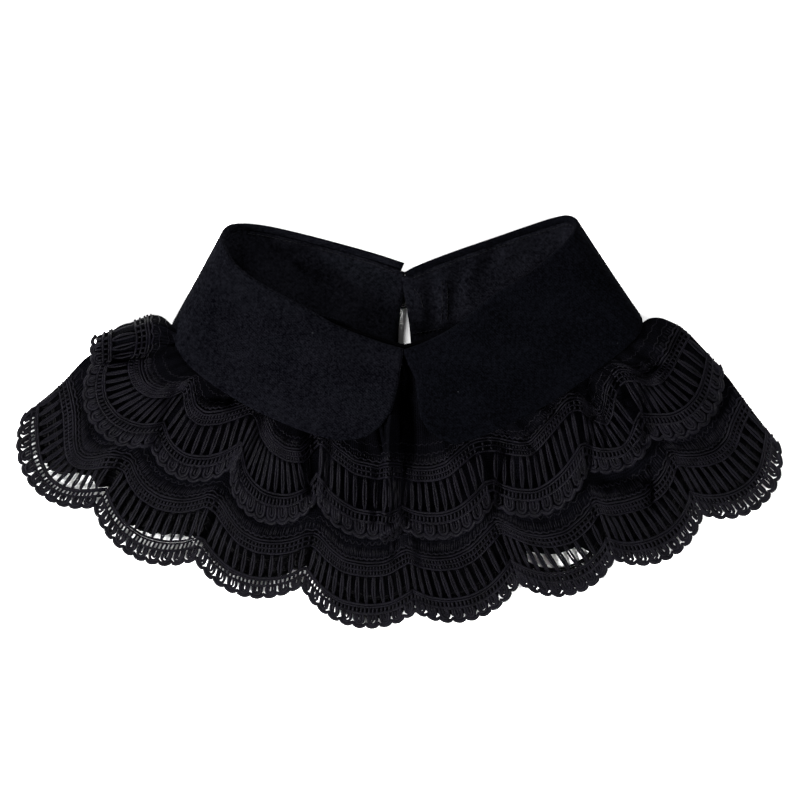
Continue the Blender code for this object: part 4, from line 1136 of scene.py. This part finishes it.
upper = Tier(tier_rows(UPPER_LEFT, UPPER_SCALLOPS, UPPER_RIGHT, UPPER_LEFT_NEXT), UPPER_SCALLOPS, UPPER_RAILS, upper_z)
lower = Tier(tier_rows(LOWER_LEFT, LOWER_SCALLOPS, LOWER_RIGHT), LOWER_SCALLOPS, LOWER_RAILS, lower_z)



def upper_start(u):
    """Where the upper tier rolls under at its ends it is doubled and close."""
    return 33.6 - 30.8 * np.maximum(smooth((0.98 - u) / 0.14), smooth((u - 9.52) / 0.12))


upper_net = net_sheet("upper_tier_net", upper, UPPER_NET_PAINTED_SHADE, upper_start, 119.9, drop=1.2)
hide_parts("ruffle_upper")
upper_strands = lace_strands(upper, 5)
upper_threads = upper_strands.build("upper_tier_threads", [UPPER_THREAD], "upper_lace")
lower_net = net_sheet("lower_tier_net", lower, LOWER_NET_PAINTED_SHADE, 33.6, 119.9)
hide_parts("ruffle_lower")
lower_strands = lace_strands(lower, 9)
lower_threads = lower_strands.build("lower_tier_threads", [LOWER_THREAD], "lower_lace")

# the back half's tiers, seen through the front one's openwork
#            place along the lower hem (scallops), inset of the back hem (mm)
BACK_INSET = [(0.0, 4.0), (0.1, 9.0), (0.35, 9.5), (0.55, 14.5), (0.7, 21.5), (0.86, 20.5), (0.98, 12.0), (1.1, 10.0), (1.5, 12.5),
              (1.75, 14.5), (1.9, 12.0), (2.02, 8.0), (2.3, 8.5), (2.6, 9.5), (2.9, 13.0), (3.1, 10.0), (3.4, 6.5), (3.7, 3.5),
              (4.1, 3.0), (4.5, 2.5), (4.8, 4.0), (5.1, 4.0), (5.35, 2.0), (5.6, 2.0), (5.8, 3.0), (6.1, 5.0),
              (6.6, 5.0), (6.9, 8.0), (7.2, 7.5), (7.6, 7.5), (7.85, 9.0), (8.0, 5.0)]


def back_inset(u):
    return float(np.interp(u, [b[0] for b in BACK_INSET], [b[1] for b in BACK_INSET]))


def back_z(u, D, x, y):
    pile = heights(x, y)[0]
    top = 0.7 + (pile - 1.6) * smooth((D - 4.0) / 30.0)
    return np.maximum(np.minimum(top, lower_top(x, y) - 1.6), 0.5)


# the back tiers are sewn to the back half of the band
PILE_SEAM = [(-77.0, 58.0), (-66.0, 58.8), (-47.0, 53.0), (-25.0, 45.4), (1.8, 33.8), (25.0, 42.6),
             (46.0, 51.6), (66.0, 60.0), (80.0, 63.0)]
back_rows = [[(0.0, *PILE_SEAM[0])] + LOWER_LEFT[1:]]
back_rows += [[(0.0, *PILE_SEAM[k + 1]), (1.0, s[2], s[3])] for k, s in enumerate(LOWER_SCALLOPS[:-1])]
back_rows += [[(0.0, *PILE_SEAM[-1])] + LOWER_RIGHT[1:]]
back = Tier(back_rows, LOWER_SCALLOPS, LOWER_RAILS, back_z, inset=back_inset)


def back_start(u):
    """The net's edge; at the one scallop whose bars show it starts past them."""
    return np.interp(u, [0.0, 5.16, 5.3, 5.78, 5.9, 8.0], [1.6, 1.6, 19.0, 19.0, 1.6, 1.6])


back_net = net_sheet("back_tier_net", back, BACK_NET_PAINTED_SHADE, back_start, 119.9, wall=0.7)
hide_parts("ruffle_back")
back_strands = lace_strands(back, 13, sides=4)
back_threads = back_strands.build("back_tier_threads", [BACK_THREAD_PAINTED_SHADE], "back_lace")
print("TRIANGLES", upper_strands.count(), lower_strands.count(), back_strands.count(),
      [(o.name, sum(len(p.vertices) - 2 for p in o.data.polygons)) for o in (upper_net, lower_net, back_net)])


# -------------------------------------------------------------- the closing
def make_button():
    cx, cy, r, z0, t = 1.0, 61.5, 3.5, 0.25, 1.3
    profile = [(0.0, 0.0), (0.6, 0.0), (0.86, 0.10), (0.97, 0.34), (1.0, 0.6), (0.96, 0.86), (0.88, 0.98),
               (0.78, 1.0), (0.70, 0.94), (0.62, 0.80), (0.5, 0.74), (0.0, 0.70)]
    sides = 48
    verts, faces = [], []
    for pr, pz in profile[1:-1]:
        for k in range(sides):
            a = 2 * math.pi * k / sides
            verts.append((cx + r * pr * math.cos(a), cy + r * pr * math.sin(a), z0 + t * pz))
    rings = len(profile) - 2
    for p in range(rings - 1):
        for k in range(sides):
            a, b = p * sides + k, p * sides + (k + 1) % sides
            faces.append((a, b, b + sides, a + sides))
    base = len(verts)
    verts += [(cx, cy, z0), (cx, cy, z0 + t * 0.7)]
    for k in range(0, sides, 2):
        k1, k2 = (k + 1) % sides, (k + 2) % sides
        faces.append((base, k2, k1, k))
        top = (rings - 1) * sides
        faces.append((base + 1, top + k, top + k1, top + k2))
    mat, nt, shader = new_material("button_resin")
    shader.inputs["Roughness"].default_value = 0.5
    shader.inputs["Specular IOR Level"].default_value = 0.12
    tex = node(nt, "ShaderNodeTexNoise", Scale=900.0, Detail=2.0)
    tone = node(nt, "ShaderNodeValToRGB")
    tone.color_ramp.elements[0].color = (0.0014, 0.0014, 0.0018, 1.0)
    tone.color_ramp.elements[1].color = (0.0030, 0.0030, 0.0036, 1.0)
    nt.links.new(tex.outputs["Fac"], tone.inputs["Fac"])
    nt.links.new(tone.outputs["Color"], shader.inputs["Base Color"])
    bump = node(nt, "ShaderNodeBump", Strength=0.1, Distance=0.0001)
    nt.links.new(tex.outputs["Fac"], bump.inputs["Height"])
    nt.links.new(bump.outputs["Normal"], shader.inputs["Normal"])
    obj = add_mesh("closing_button_resin", verts, faces, [mat])
    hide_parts("closing_button")
    return obj


make_button()


def make_loop():
    cx, cy = 1.0, 61.5
    r = 3.5 + 0.35 + 0.5
    route = [(-4.9, cy + 1.4), (-3.4, cy + 2.6)]
    for k in range(25):
        a = math.radians(125 - 250 * k / 24)
        route.append((cx + r * math.cos(a), cy + r * math.sin(a)))
    route += [(-3.4, cy - 2.6), (-4.9, cy - 1.4)]
    route = np.array(route)
    pts = np.concatenate([route, np.full((len(route), 1), 0.9)], axis=1)[None]
    up = np.zeros_like(pts)
    up[..., 2] = 1.0
    tubes = Tubes()
    tubes.add(pts, up, 0.5, 1.0, 6)
    obj = tubes.build("closing_loop_cord", [SEWING], "loop_cord")
    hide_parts("closing_loop")
    return obj


make_loop()

# ------------------------------------------------------------- the stitches
def stitches(name, line, up, pitch, length, radius, slot, lift=0.0):
    """Machine stitches along a line (k, 3) that lies on a surface."""
    run = np.concatenate([[0.0], np.cumsum(np.linalg.norm(np.diff(line, axis=0), axis=1))])
    m = int(run[-1] / pitch)
    if m < 2:
        return None
    starts = (np.arange(m) + 0.2) * pitch
    s = starts[:, None] + np.linspace(0, length, 5)[None]
    pts = np.stack([np.interp(s, run, line[:, c]) for c in range(3)], axis=-1)
    nn = unit(np.stack([np.interp(s, run, up[:, c]) for c in range(3)], axis=-1))
    sink = np.array([-0.55, 0.35, 0.5, 0.35, -0.55]) * radius
    pts = pts + nn * (lift + sink[None, :, None])
    tubes = Tubes()
    tubes.add(pts, nn, radius, 1.0, 6)
    return tubes


def add_stitches(name, sets, slot):
    total = Tubes()
    for t in sets:
        if t is None:
            continue
        for v, f, uv in zip(t.v, t.f, t.uv):
            pass
        offset = total.n
        total.v += t.v
        total.uv += t.uv
        total.f += [f + offset for f in t.f]
        total.n += t.n
    return total.build(name, [SEWING], slot)


def stand_line(points):
    """A line of stitches through drawing squares, on the stand's inner face."""
    flat = stand_inner.reshape(-1, 3)
    line = []
    for k in range(len(points) - 1):
        p, q = np.array(plan(*points[k])), np.array(plan(*points[k + 1]))
        for t in np.linspace(0, 1, 12, endpoint=False):
            c = p + (q - p) * t
            near = np.argsort(np.sum((flat[:, :2] - c) ** 2, axis=1) + 1e6 * (flat[:, 2] > 12.0))[:4]
            line.append((c[0], c[1], flat[near, 2].mean()))
    line = np.array(line)
    up = np.zeros_like(line)
    up[:, 2] = 1.0
    return line, up


# the seam under the roll, all round, and the back's own seams
sets = []
size = len(stand_inner)
sets.append(stitches("seam", stand_inner[3:-3, 1], -stand_n[3:-3, 1], 2.4, 1.9, 0.20, "stand_cloth", 0.02))
for points in ([(411, 334), (428, 331), (445, 328)], [(442, 281), (443, 300), (442, 326)], [(447, 281), (448, 300), (447, 325)],
               [(414, 288), (420, 296), (424, 310)]):
    line, up = stand_line(points)
    sets.append(stitches("tab", line, up, 2.2, 1.7, 0.20, "stand_cloth", 0.02))
stand_stitches = add_stitches("stand_seam_stitching", sets, "stand_cloth")

# -------------------------------------------------- floor, light, camera
floor_mesh = bpy.data.meshes.new("floor")
floor_mesh.from_pydata([(-9, -9, 0), (9, -9, 0), (9, 9, 0), (-9, 9, 0)], [], [(0, 1, 2, 3)])
floor = bpy.data.objects.new("floor", floor_mesh)
floor_mat, nt, shader = new_material("floor_paper")
shader.inputs["Base Color"].default_value = (0.94, 0.94, 0.94, 1.0)
shader.inputs["Roughness"].default_value = 0.9
shader.inputs["Specular IOR Level"].default_value = 0.1
floor_mesh.materials.append(floor_mat)
bpy.context.scene.collection.objects.link(floor)


def area_light(name, at, aim, size, power):
    light = bpy.data.lights.new(name, "AREA")
    light.shape = "SQUARE"
    light.size = size
    light.energy = power
    obj = bpy.data.objects.new(name, light)
    bpy.context.scene.collection.objects.link(obj)
    import mathutils
    direction = mathutils.Vector(aim) - mathutils.Vector(at)
    obj.location = at
    obj.rotation_euler = direction.to_track_quat("-Z", "Y").to_euler()
    return obj


area_light("key", (-1.36, -0.85, 1.04), (0.0, 0.0, 0.0), 0.45, 205.0)
area_light("side", (1.45, -0.68, 1.05), (0.0, 0.0, 0.0), 1.0, 76.0)
area_light("behind", (-0.9, 1.85, 0.62), (0.0, 0.06, 0.0), 0.6, 150.0)
world = bpy.data.worlds.new("studio")
world.use_nodes = True
world.node_tree.nodes["Background"].inputs["Color"].default_value = (1.0, 1.0, 1.0, 1.0)
world.node_tree.nodes["Background"].inputs["Strength"].default_value = 0.08
bpy.context.scene.world = world

cam = bpy.data.cameras.new("camera")
cam.lens = 135.0
cam.sensor_width = 36.0
cam_obj = bpy.data.objects.new("camera", cam)
cam_obj.location = (0.000354, 0.01118, 0.010 + 1.5)
cam_obj.rotation_euler = (0.0, 0.0, 0.0)
bpy.context.scene.collection.objects.link(cam_obj)
bpy.context.scene.camera = cam_obj
bpy.context.scene.view_settings.view_transform = "Standard"
bpy.context.scene.view_settings.look = "None"
